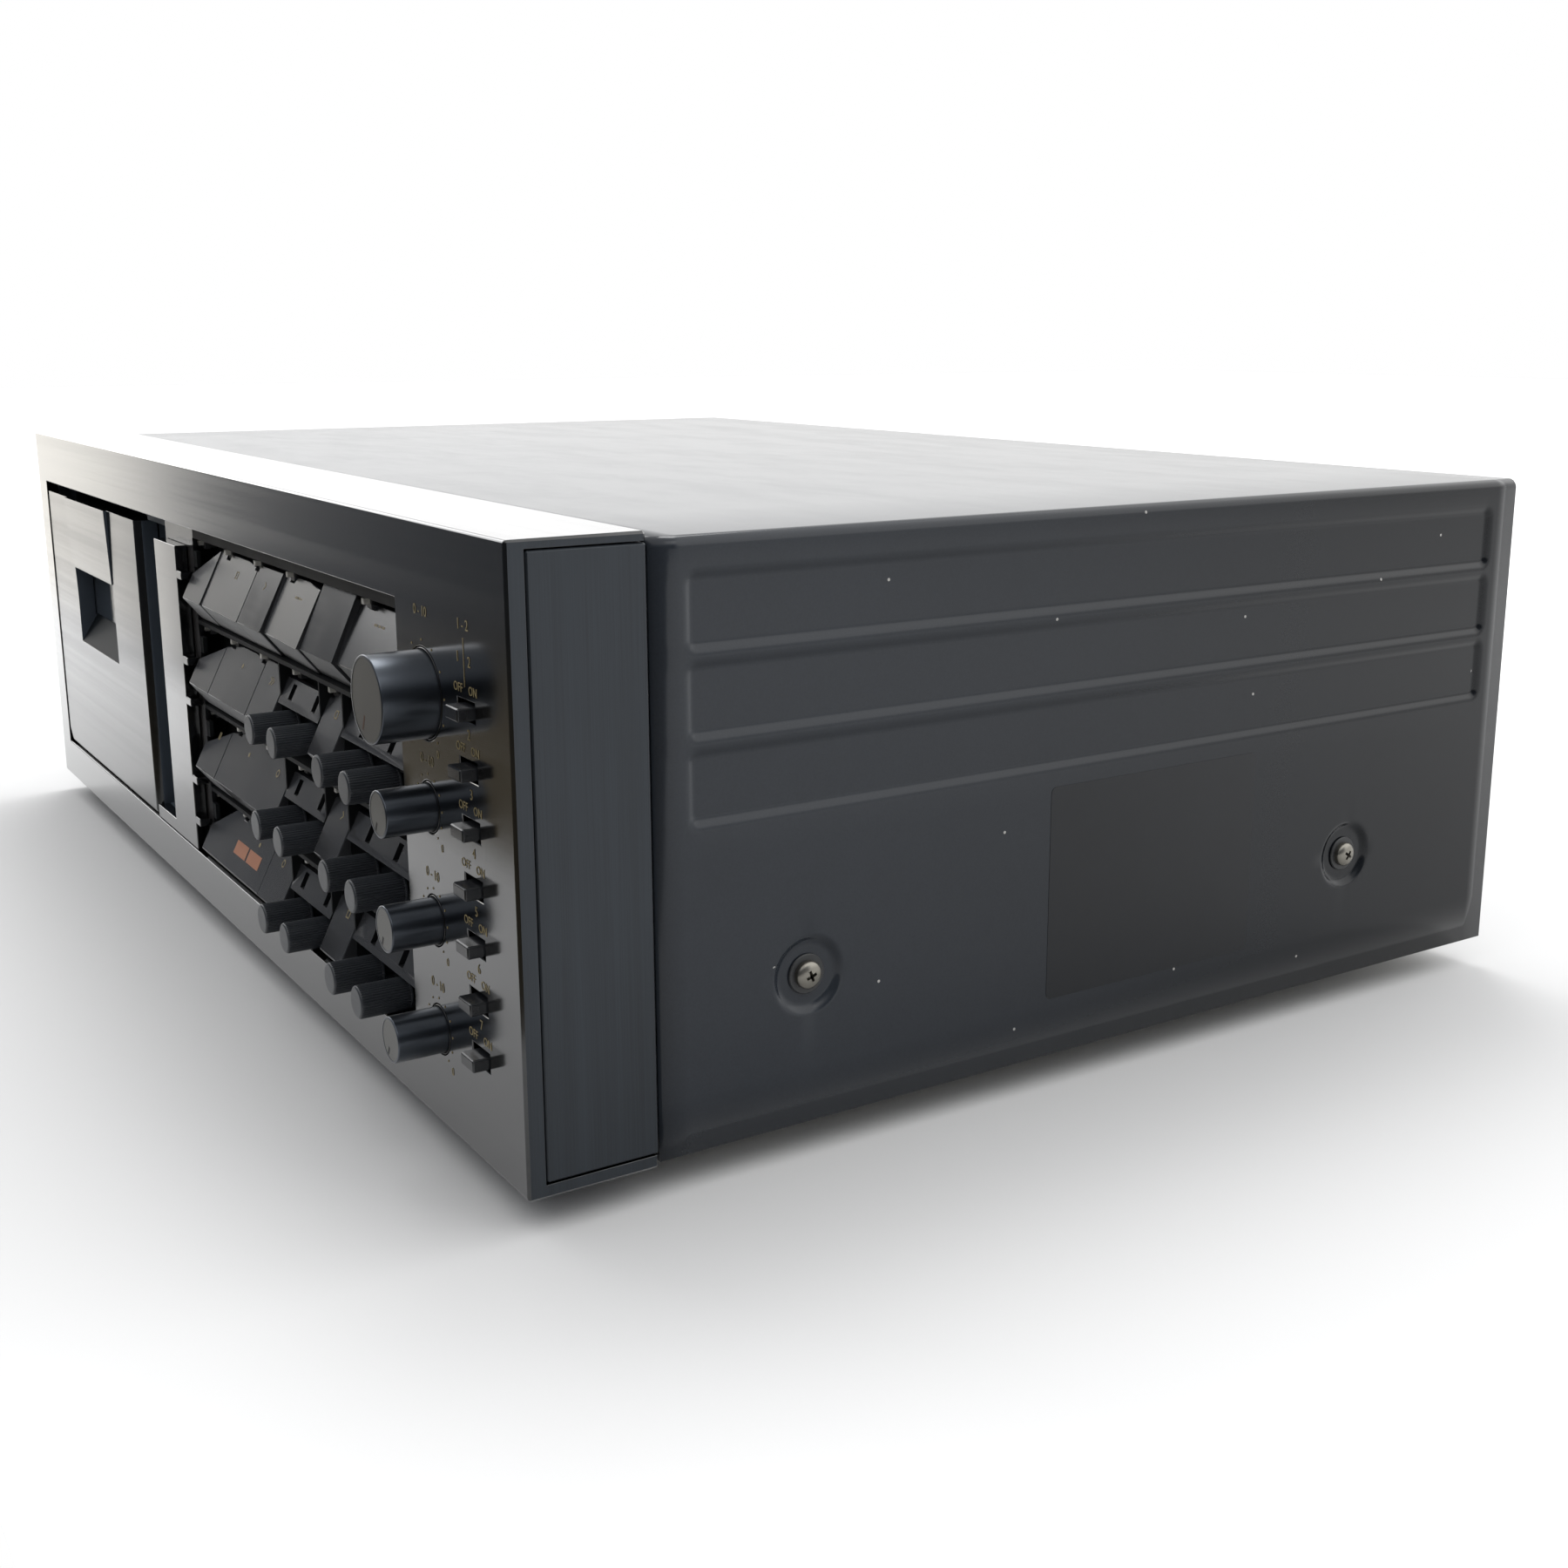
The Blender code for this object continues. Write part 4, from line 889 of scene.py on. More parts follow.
@dataclass
class FrontPanel:
    """The front plate with its flanges, its window and its round holes."""

    edge: float = 0.00030
    rear_edge: float = 0.00008
    sheet: float = 0.0015

    def build(self) -> None:
        """Round the plate's edges and brush it; its outer sides are brushed as the end caps."""
        shape = dressed("front_panel")
        bmesh.ops.recalc_face_normals(shape, faces=shape.faces[:])
        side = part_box("front_panel")[1].x - self.edge
        for face in shape.faces:
            middle = face.calc_center_median()
            face.material_index = int(abs(face.normal.x) > SQUARE_ON and abs(middle.x) > side)
        back = PANEL.face + self.sheet
        round_edges(shape, self.edge, 2, 25.0, (-math.inf, back), side)
        round_edges(shape, self.rear_edge, 1, 60.0, (back, math.inf))
        add_piece("panel_plate", shape, [PANEL_METAL, CAP_METAL], "front_panel", stands_in=True)


@dataclass
class PressedCover:
    """The steel cover, with its soft pressed fields, dished screw seats and rounded bends."""

    sheet: float = 0.0012
    bend: float = 0.0025
    field_tops: tuple[float, ...] = (0.1246, 0.1061, 0.0876)
    field_height: float = 0.0137
    field_front: float = 0.0098
    field_rear: float = 0.2600
    field_corner: float = 0.0012
    field_depth: float = 0.0010
    slope: float = 0.0024
    screw_depths: tuple[float, ...] = (0.0377, 0.2104)
    screw_height: float = 0.0350
    dish_radius: float = 0.0094
    dish_floor: float = 0.0070
    dish_depth: float = 0.0013
    coarse: float = 0.0120
    fine: float = 0.0005

    def __post_init__(self) -> None:
        """Read the cover's box from the frame."""
        self.low, self.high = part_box("top_cover")
        self.length = self.high.y - self.low.y

    def lines(self, end: float, busy: Sequence[Span]) -> list[float]:
        """Return grid lines from 0 to an end, close together in the busy spans.

        Args:
            end: The last line.
            busy: Spans that need fine lines.

        Returns:
            The sorted lines.
        """
        marks = {0.0, end}
        count = max(int(end / self.coarse), 1)
        marks.update(end * step / count for step in range(count + 1))
        for first, last in busy:
            steps = max(int((last - first) / self.fine), 1)
            marks.update(first + (last - first) * step / steps for step in range(steps + 1))
        found: list[float] = []
        for mark in sorted(marks):
            if 0.0 <= mark <= end and (not found or mark - found[-1] > self.fine * 0.4):
                found.append(mark)
        if end - found[-1] > MERGE_DISTANCE:
            found[-1] = end
        return found

    def push(self, depth: float, height: float) -> float:
        """Return how far a point of the side is pressed in.

        Args:
            depth: Distance behind the cover's front edge.
            height: Height above the panel's lower edge.

        Returns:
            The distance, 0 outside the fields and dishes.
        """
        pressed = 0.0
        half_length = (self.field_rear - self.field_front) / 2
        middle = (self.field_rear + self.field_front) / 2
        for top in self.field_tops:
            across = abs(depth - middle) - half_length + self.field_corner
            up = abs(height - top + self.field_height / 2) - self.field_height / 2 + self.field_corner
            corner = math.hypot(max(across, 0.0), max(up, 0.0)) + min(max(across, up), 0.0)
            outside = min(max((corner - self.field_corner) / self.slope, 0.0), 1.0)
            pressed = max(pressed, self.field_depth * (1 - outside) * (1 - outside))
        for place in self.screw_depths:
            reach = math.hypot(depth - place, height - self.screw_height)
            inside = (self.dish_radius - reach) / (self.dish_radius - self.dish_floor)
            inside = min(max(inside, 0.0), 1.0)
            pressed = max(pressed, self.dish_depth * inside * inside * (3 - 2 * inside))
        return pressed

    def section(self) -> list[tuple[float, float, bool]]:
        """Return the cover's outline across its width: x, height, and whether it is on a side."""
        top = self.high.z - PANEL.base
        foot = self.low.z - PANEL.base
        half = self.high.x
        rise = top - self.bend - foot
        busy = [(edge - self.field_height - foot, edge - foot) for edge in self.field_tops]
        busy = [(end - self.slope, end + self.slope) for field in busy for end in field]
        dish = self.screw_height - foot
        busy.append((dish - self.dish_radius, dish + self.dish_radius))
        side = [(half, foot + line, True) for line in self.lines(rise, busy)]
        bend = [
            (x, z, False)
            for x, z in arc((half - self.bend, top - self.bend), self.bend, 0.0, 90.0, 8)[1:]
        ]
        right = side + bend
        middle = [(half * share, top, False) for share in (0.8, 0.5, 0.2)]
        half_line = right + middle
        return half_line + [(-x, z, flag) for x, z, flag in reversed(half_line)]

    def build(self) -> None:
        """Bend a grid round the section, press it and give it its thickness."""
        section = self.section()
        ends = (self.field_front, self.field_rear)
        busy = [(end - self.slope, end + self.slope + self.field_corner) for end in ends]
        busy += [(place - self.dish_radius, place + self.dish_radius) for place in self.screw_depths]
        stations = self.lines(self.length, busy)
        shape = bmesh.new()
        grid = bmesh.ops.create_grid(
            shape, x_segments=len(section) - 1, y_segments=len(stations) - 1, size=1.0
        )
        for index, corner in enumerate(grid["verts"]):
            station, point = divmod(index, len(section))
            across, height, on_side = section[point]
            depth = stations[station]
            pressed = self.push(depth, height) if on_side else 0.0
            across -= math.copysign(pressed, across)
            corner.co = Vector((across, self.low.y + depth, PANEL.base + height))
        bmesh.ops.recalc_face_normals(shape, faces=shape.faces[:])
        if shape.faces[0].normal.x < 0:
            bmesh.ops.reverse_faces(shape, faces=shape.faces[:])
        cover = add_piece(
            "cover_shell", shape, COVER_PAINT, "top_cover", stands_in=True, crease=60.0, flat=False
        )
        wall = cover.modifiers.new("sheet", "SOLIDIFY")
        wall.thickness = self.sheet
        wall.offset = -1.0
        wall.use_even_offset = True


@dataclass
class CoverScrews:
    """Pan-head screws on dished washers, two in each side of the cover."""

    cover: PressedCover
    washer_radius: float = 0.0046
    washer_hole: float = 0.0020
    washer_thickness: float = 0.0006
    head_radius: float = 0.0032
    head_height: float = 0.0021
    dome_shares: Span = (0.35, 0.65)
    slot_reach: float = 0.0019
    slot_width: float = 0.00085
    slot_depth: float = 0.0014
    slot_taper: Colour = (0.45, 0.7, 1.0)
    slot_step: Colour = (1.0, 1.0, 1.02)
    turns: Span = (20.0, 55.0)

    def washer(self, seat: Vector, out: Vector) -> bmesh.types.BMesh:
        """Return a washer with rounded edges.

        Args:
            seat: The middle of the dish's floor.
            out: Direction out of the side.

        Returns:
            The washer.
        """
        inner, outer, high = self.washer_hole, self.washer_radius, self.washer_thickness
        soft = high / 3
        profile = [(inner, 0.0), (outer - soft, 0.0), (outer, soft), (outer, high - soft)]
        profile += [(outer - soft, high), (inner, high), (inner, 0.0)]
        return spun(profile, seat, out, 64)

    def head(self, seat: Vector, out: Vector, turn: float) -> bmesh.types.BMesh:
        """Return a domed head with a cross recess.

        Args:
            seat: Where the head sits.
            out: Direction out of the side.
            turn: Turn of the cross, in degrees.

        Returns:
            The head.
        """
        radius, high = self.head_radius, self.head_height
        base, rise = (high * share for share in self.dome_shares)
        angles = [math.radians(90 - 10 * step) for step in range(10)]
        dome = [(radius * math.cos(t), base + rise * math.sin(t)) for t in angles]
        # The cross is cut at the origin, where the cut comes out alike in every run.
        up = Vector((0, 0, 1))
        shape = spun(dome + [(radius, 0.0), (0.0, 0.0)], Vector((0, 0, 0)), up, 64)
        lift = Matrix.Translation(up * high)
        half = Vector((self.slot_reach, self.slot_width / 2, self.slot_depth))
        for quarter in (0.0, 90.0):
            bar = box_shape(-half, half)
            floor = [corner for corner in bar.verts if corner.co.z < 0]
            bmesh.ops.scale(bar, vec=self.slot_taper, verts=floor)
            rotation = Matrix.Rotation(math.radians(turn + quarter), 3, "Z")
            bmesh.ops.rotate(bar, matrix=rotation, verts=bar.verts[:])
            if quarter:
                # A hair deeper, so that the floors of the two bars don't lie in one plane.
                bmesh.ops.scale(bar, vec=self.slot_step, verts=bar.verts[:])
            bmesh.ops.transform(bar, matrix=lift, verts=bar.verts[:])
            shape = cut(shape, bar)
        place = Matrix.Translation(seat) @ up.rotation_difference(out).to_matrix().to_4x4()
        bmesh.ops.transform(shape, matrix=place, verts=shape.verts[:])
        return shape

    def screw(self, name: str, node: str, seat: Vector, out: Vector, turn: float) -> None:
        """Put a screw in a node.

        Args:
            name: The screw's name.
            node: The node that it holds.
            seat: Where its head sits.
            out: Direction out of the node.
            turn: Turn of its cross, in degrees.
        """
        add_piece(name, self.head(seat, out, turn), SCREW_METAL, node, METAL_SLOT, crease=40.0)

    def build(self) -> None:
        """Put a washer and a screw in each dish."""
        cover = self.cover
        for side, label in ((1, "right"), (-1, "left")):
            out = Vector((side, 0, 0))
            across = side * (cover.high.x - cover.dish_depth)
            for index, depth in enumerate(cover.screw_depths):
                tag = "%s_%d" % (label, index + 1)
                seat = Vector((across, cover.low.y + depth, PANEL.base + cover.screw_height))
                washer = self.washer(seat, out)
                add_piece("cover_washer_" + tag, washer, WASHER_METAL, "top_cover", METAL_SLOT)
                seat = seat + out * self.washer_thickness
                self.screw("cover_screw_" + tag, "top_cover", seat, out, self.turns[index])


@dataclass
class RoundKnob:
    """A turned metal knob with a spun face and a cut index mark."""

    node: str
    chamfer: float = 0.00030
    face_dish: float = 0.00012
    face_lift: float = 0.00006
    face_inset: float = 1.3
    face_tone: float = 0.085
    skirt_end: float = 0.007
    neck: float = 0.55
    mark_ink: Finish = MARK_INK
    mark_width: float = 0.0007
    mark_lift: float = 0.00010
    mark_edge: float = 0.00004
    sink: float = 0.0001
    mark_start: float = 0.42
    mark_end: float = 0.80
    mark_turn: float = 205.0
    seat_gap: float = 0.00012
    seat_width: float = 0.00025

    def build(self) -> None:
        """Turn the knob, its face and its mark."""
        knob = Turned.of(self.node)
        centre, radius, dish = knob.centre, knob.radius, self.face_dish
        tail = PANEL.face + self.skirt_end - centre.y
        rim = radius - self.chamfer
        neck = radius * self.neck
        profile = [(0.0, dish), (rim - self.chamfer, dish), (rim - self.chamfer, 0.0)]
        profile += arc((rim, self.chamfer), self.chamfer, -90.0, 0.0, 5)
        profile += [(radius, tail), (neck, tail), (neck, knob.length), (0.0, knob.length)]
        shell = spun(profile, centre, BACK)
        add_piece(self.node + "_body", shell, KNOB_METAL, self.node, stands_in=True)
        metal = SpunMetal(
            self.node + "_face_metal", (self.face_tone, self.face_tone, self.face_tone * 0.94),
            0.34, 0.9, centre=tuple(centre),
        )
        edge = rim - self.chamfer * self.face_inset
        front, rear = dish - self.face_lift, dish + self.sink
        disc = spun([(0.0, front), (edge, front), (edge, rear), (0.0, rear)], centre, BACK)
        add_piece(self.node + "_face", disc, metal, self.node)
        mark = box_shape(
            Vector((-self.mark_width / 2, dish - self.mark_lift, radius * self.mark_start)),
            Vector((self.mark_width / 2, rear, radius * self.mark_end)),
            self.mark_edge, 1,
        )
        place = Matrix.Translation(centre) @ Matrix.Rotation(math.radians(self.mark_turn), 4, "Y")
        bmesh.ops.transform(mark, matrix=place, verts=mark.verts[:])
        add_piece(self.node + "_mark", mark, self.mark_ink, self.node)
        self.seat(Vector((centre.x, PANEL.face, centre.z)), radius)

    def seat(self, centre: Vector, radius: float) -> None:
        """Line the panel's hole with a thin lip round the knob.

        Args:
            centre: The knob's axis at the panel's face.
            radius: The knob's radius.
        """
        inner = radius + self.seat_gap
        outer = inner + self.seat_width
        soft = self.sink
        profile = [(inner, self.seat_width), (inner, soft), (inner + soft, 0.0)]
        profile += [(outer - soft, 0.0), (outer, soft), (outer, self.seat_width)]
        profile += [(inner, self.seat_width)]
        add_piece(self.node + "_seat", spun(profile, centre, BACK), LIP_METAL, "front_panel")


@dataclass
class RibbedKnob:
    """A small moulded knob with fine straight ribs and a smooth face."""

    node: str
    ribs: int = 40
    rib_depth: float = 0.00018
    chamfer: float = 0.00045
    skirt: float = 0.0007
    back: float = 0.0130
    shaft: float = 0.0018
    fillet: float = 0.0002

    def ring(
        self, face: bmesh.types.BMFace, centre: Vector, depth: float, radius: float, rib: float
    ) -> None:
        """Set a face's corners on a ring, every second one drawn in by the rib.

        Args:
            face: The face.
            centre: The knob's axis at its front.
            depth: Distance behind the front.
            radius: Outer radius.
            rib: How far the grooves are drawn in.
        """
        total = len(face.verts)
        for index, corner in enumerate(face.verts):
            turn = math.tau * index / total
            reach = radius - rib * (index % 4 >= 2)
            corner.co = centre + Vector((reach * math.cos(turn), depth, reach * math.sin(turn)))

    def build(self) -> None:
        """Draw the knob up ring by ring, from its shaft to its face."""
        knob = Turned.of(self.node)
        centre, radius = knob.centre, knob.radius
        back, shaft, rib, fillet = self.back, self.shaft, self.rib_depth, self.fillet
        levels = (
            (knob.length, shaft, 0.0),
            (back, shaft, 0.0),
            (back, radius - 0.0003, 0.0),
            (back - 0.0003, radius, 0.0),
            (back - self.skirt, radius, 0.0),
            (back - self.skirt - fillet, radius, rib),
            (self.chamfer + fillet, radius, rib),
            (self.chamfer, radius - 0.00008, rib * 0.6),
            (self.chamfer * 0.5, radius - 0.00022, 0.0),
            (0.00008, radius - self.chamfer, 0.0),
            (0.0, radius - self.chamfer - fillet, 0.0),
        )
        shape = bmesh.new()
        bmesh.ops.create_circle(shape, cap_ends=True, segments=4 * self.ribs, radius=shaft)
        face = list(shape.faces)[0]
        self.ring(face, centre, *levels[0])
        for step, level in enumerate(levels[1:]):
            drawn = bmesh.ops.extrude_face_region(shape, geom=[face])
            if step:
                bmesh.ops.delete(shape, geom=[face], context="FACES_ONLY")
            face = [part for part in drawn["geom"] if isinstance(part, bmesh.types.BMFace)][0]
            self.ring(face, centre, *level)
        name = self.node + "_ribbed"
        add_piece(name, closed(shape), TRIM_PLASTIC, self.node, stands_in=True, crease=24.0)


# How far the left and the right end of a key stand behind the row.
KEY_SET_BACK: dict[str, Span] = {
    "key_1_2": (0.0004, 0.0),
    "key_1_4": (0.0010, 0.0),
    "key_1_5": (0.0008, 0.0008),
    "key_1_6": (0.0019, 0.0016),
}


def key_set_back(node: str, across: float) -> float:
    """Return how far a key's front stands behind the row, as some keys rest a little askew.

    Args:
        node: The key.
        across: Distance to the right of the middle.

    Returns:
        The distance.
    """
    left, right = KEY_SET_BACK.get(node, (0.0, 0.0))
    low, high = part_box(node)
    share = (across - low.x) / (high.x - low.x)
    return left + (right - left) * share


@dataclass
class KeyBay:
    """The moulded housing, the ridged keys in it and the lamps over them."""

    edge: float = 0.00018
    key_edge: float = 0.00026
    guide_tip: float = 0.0004
    guide_size: float = 0.0024
    tip_size: float = 0.0015
    tip_rise: float = -0.0001
    tip_reach: float = 0.0018
    sleeve_wall: float = 0.0003
    sleeve_depth: float = 0.0016
    tip_edge: float = 0.0001
    board_edge: float = 0.00012
    board_thickness: float = 0.0016
    bar_right: float = -0.0168
    back_margin: float = 0.0015
    raised_edge: float = 0.0003
    raised_keys: tuple[str, ...] = ("key_1_1", "key_1_3", "key_1_4", "key_1_5")
    painted_shade_keys: tuple[str, ...] = ("key_1_3", "key_1_5", "key_1_6")

    def is_facet(self, face: bmesh.types.BMFace) -> bool:
        """Return whether a face lies in the plane of the keys' upper facets."""
        return face.normal.dot(FACET_OUT) > 0.999

    def housing(self) -> None:
        """Dress the housing: its sloped plates have the keys' finish."""
        shape = dressed("key_bay")
        bmesh.ops.recalc_face_normals(shape, faces=shape.faces[:])
        split(shape, RIGHT * self.bar_right, RIGHT)
        for face in shape.faces:
            face.material_index = int(self.is_facet(face))
            if face.normal.y < -SQUARE_ON and face.calc_center_median().x < self.bar_right:
                face.material_index = 2
        round_edges(shape, self.edge)
        plastics = [HOUSING, KEY_PLASTIC, BAR_PLASTIC]
        add_piece("key_bay_housing", shape, plastics, "key_bay", stands_in=True)

    def chamfer_right(self, shape: bmesh.types.BMesh) -> None:
        """Cut a chamfer along the right edge of a key's upper facet and make it near black as painted
        shade.

        Args:
            shape: The key's mesh.
        """
        right = max(corner.co.x for corner in shape.verts)
        ahead = max(FACET_OUT.dot(corner.co) for corner in shape.verts)
        place = FACET_OUT * ahead + RIGHT * (right - self.raised_edge)
        rim = split(shape, place, (FACET_OUT + RIGHT).normalized(), True)
        # Painted shade: the chamfer's faces take the near-black flank plastic.
        for face in bmesh.ops.edgeloop_fill(shape, edges=rim)["faces"]:
            face.material_index = 2
        bmesh.ops.recalc_face_normals(shape, faces=shape.faces[:])

    def key(self, node: str) -> None:
        """Dress a key with softened edges, lower facets made pale as painted light, a right chamfer
        made dark as painted shade where it has one, and set it back.

        Args:
            node: The key's name.
        """
        shape = dressed(node)
        bmesh.ops.recalc_face_normals(shape, faces=shape.faces[:])
        for face in shape.faces:
            # Painted light: faces that lean down and to the front take a much paler copy of the key
            # plastic.
            face.material_index = int(max(face.normal.y, face.normal.z) < -LEANING)
        if node in self.raised_keys:
            self.chamfer_right(shape)
        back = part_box(node)[1].y - self.back_margin
        for corner in shape.verts:
            if corner.co.y < back:
                corner.co.y += key_set_back(node, corner.co.x)
        round_edges(shape, self.key_edge, 2, 20.0)
        # Keys that rest at a tilt get the darker copy of the plastic: painted shade.
        upper = KEY_PLASTIC_PAINTED_SHADE if node in self.painted_shade_keys else KEY_PLASTIC
        add_piece(node + "_cap", shape, [upper, KEY_LOWER_PAINTED_LIGHT, KEY_FLANK_PAINTED_SHADE], node, stands_in=True)

    def lamps(self) -> None:
        """Split the lamp board into its dark board and its grey light guides with pale tips."""
        shape = dressed("lamp_board")
        round_edges(shape, self.board_edge, 1)
        low, high = (corner.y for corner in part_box("lamp_board"))
        tip, board = low + self.guide_tip, high - self.board_thickness
        split(shape, BACK * tip, BACK)
        for face in shape.faces:
            depth = face.calc_center_median().y
            face.material_index = 1 if depth < tip else 2 if depth < board else 0
        add_piece("lamp_board_dressed", shape, [BOARD, LAMP, GUIDE_GREY], "lamp_board", stands_in=True)

    def tips(self) -> None:
        """Put a pale tip in a grey sleeve at the front of each light guide."""
        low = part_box("lamp_board")[0].y
        guides = bmesh.new()
        guides.from_mesh(frame["nodes"]["lamp_board"].data)
        fronts = [face for face in guides.faces if face.calc_center_median().y < low + MERGE_DISTANCE]
        places = sorted({
            (round(corner.co.x, 5), round(corner.co.z, 5)) for face in fronts for corner in face.verts
        })
        guides.free()
        tips, sleeves = bmesh.new(), bmesh.new()
        half = self.tip_size / 2
        wide = self.guide_size / 2 + self.sleeve_wall
        for across, height in places:
            if (round(across - self.guide_size, 5), round(height - self.guide_size, 5)) not in places:
                continue
            middle = across - self.guide_size / 2
            top = height + self.tip_rise
            foot = height - self.guide_size - self.sleeve_wall
            join(tips, box_shape(
                Vector((middle - half, low - self.tip_reach, top - self.tip_size)),
                Vector((middle + half, low + self.edge, top)), self.tip_edge, 1,
            ))
            join(sleeves, box_shape(
                Vector((middle - wide, low - self.edge, foot)),
                Vector((middle + wide, low + self.sleeve_depth, height + self.sleeve_wall)),
                self.tip_edge, 1,
            ))
        add_piece("light_guide_tips", tips, LAMP, "lamp_board")
        add_piece("light_guide_sleeves", sleeves, GUIDE_GREY, "lamp_board")

    def build(self) -> None:
        """Build the housing, the keys and the lamps."""
        self.housing()
        for node in sorted(frame["nodes"]):
            if node.startswith(("key_1", "key_2", "key_3", "key_4", "selector_key")):
                self.key(node)
        self.lamps()
        self.tips()


@dataclass
class CassetteDoor:
    """The hinged door plate and the comb-edged strip beside it."""

    edge: float = 0.00025
    pocket_left: float = -0.1780
    pocket_right: float = -0.1115
    pocket_low: float = 0.0575
    pocket_high: float = 0.0890
    pocket_front: float = 0.0006

    def in_pocket(self, face: bmesh.types.BMFace) -> bool:
        """Return whether a face of the door lies in the recess round its window."""
        middle = face.calc_center_median()
        height = middle.z - PANEL.base
        across = self.pocket_left < middle.x < self.pocket_right
        up = self.pocket_low < height < self.pocket_high
        return across and up and middle.y > PANEL.face + self.pocket_front

    def build(self) -> None:
        """Round the edges of the door and of the strip and brush them; the door's recess round its
        window is made near black as painted shade.
        """
        shape = dressed("cassette_door")
        round_edges(shape, self.edge, 2, 28.0)
        for face in shape.faces:
            # Painted shade: faces in the recess round the window take a near-black, barely glossy
            # finish.
            face.material_index = int(self.in_pocket(face))
            if face.normal.x > SQUARE_ON:
                face.material_index = 2
        metals = [DOOR_METAL, POCKET_PAINTED_SHADE, DOOR_FLANK]
        add_piece("door_plate", shape, metals, "cassette_door", stands_in=True)
        shape = dressed("comb_strip")
        round_edges(shape, self.edge)
        add_piece("strip_plate", shape, STRIP_METAL, "comb_strip", stands_in=True)


@dataclass
class SlideSwitches:
    """The seven levers in the last column."""

    edge: float = 0.00025

    def build(self) -> None:
        """Dress each lever with softened edges."""
        for node in sorted(frame["nodes"]):
            if node.startswith("switch_lever"):
                shape = dressed(node)
                round_edges(shape, self.edge)
                add_piece(node + "_cap", shape, LEVER_PLASTIC, node, stands_in=True)


class Mark(Enum):
    """A plain printed sign on a key."""

    CHEVRON = "chevron"
    DOUBLE_CHEVRON = "double chevron"
    SQUARE = "square"
    BARS = "bars"
    RULE = "rule"
    RING = "ring"
    DOT = "dot"


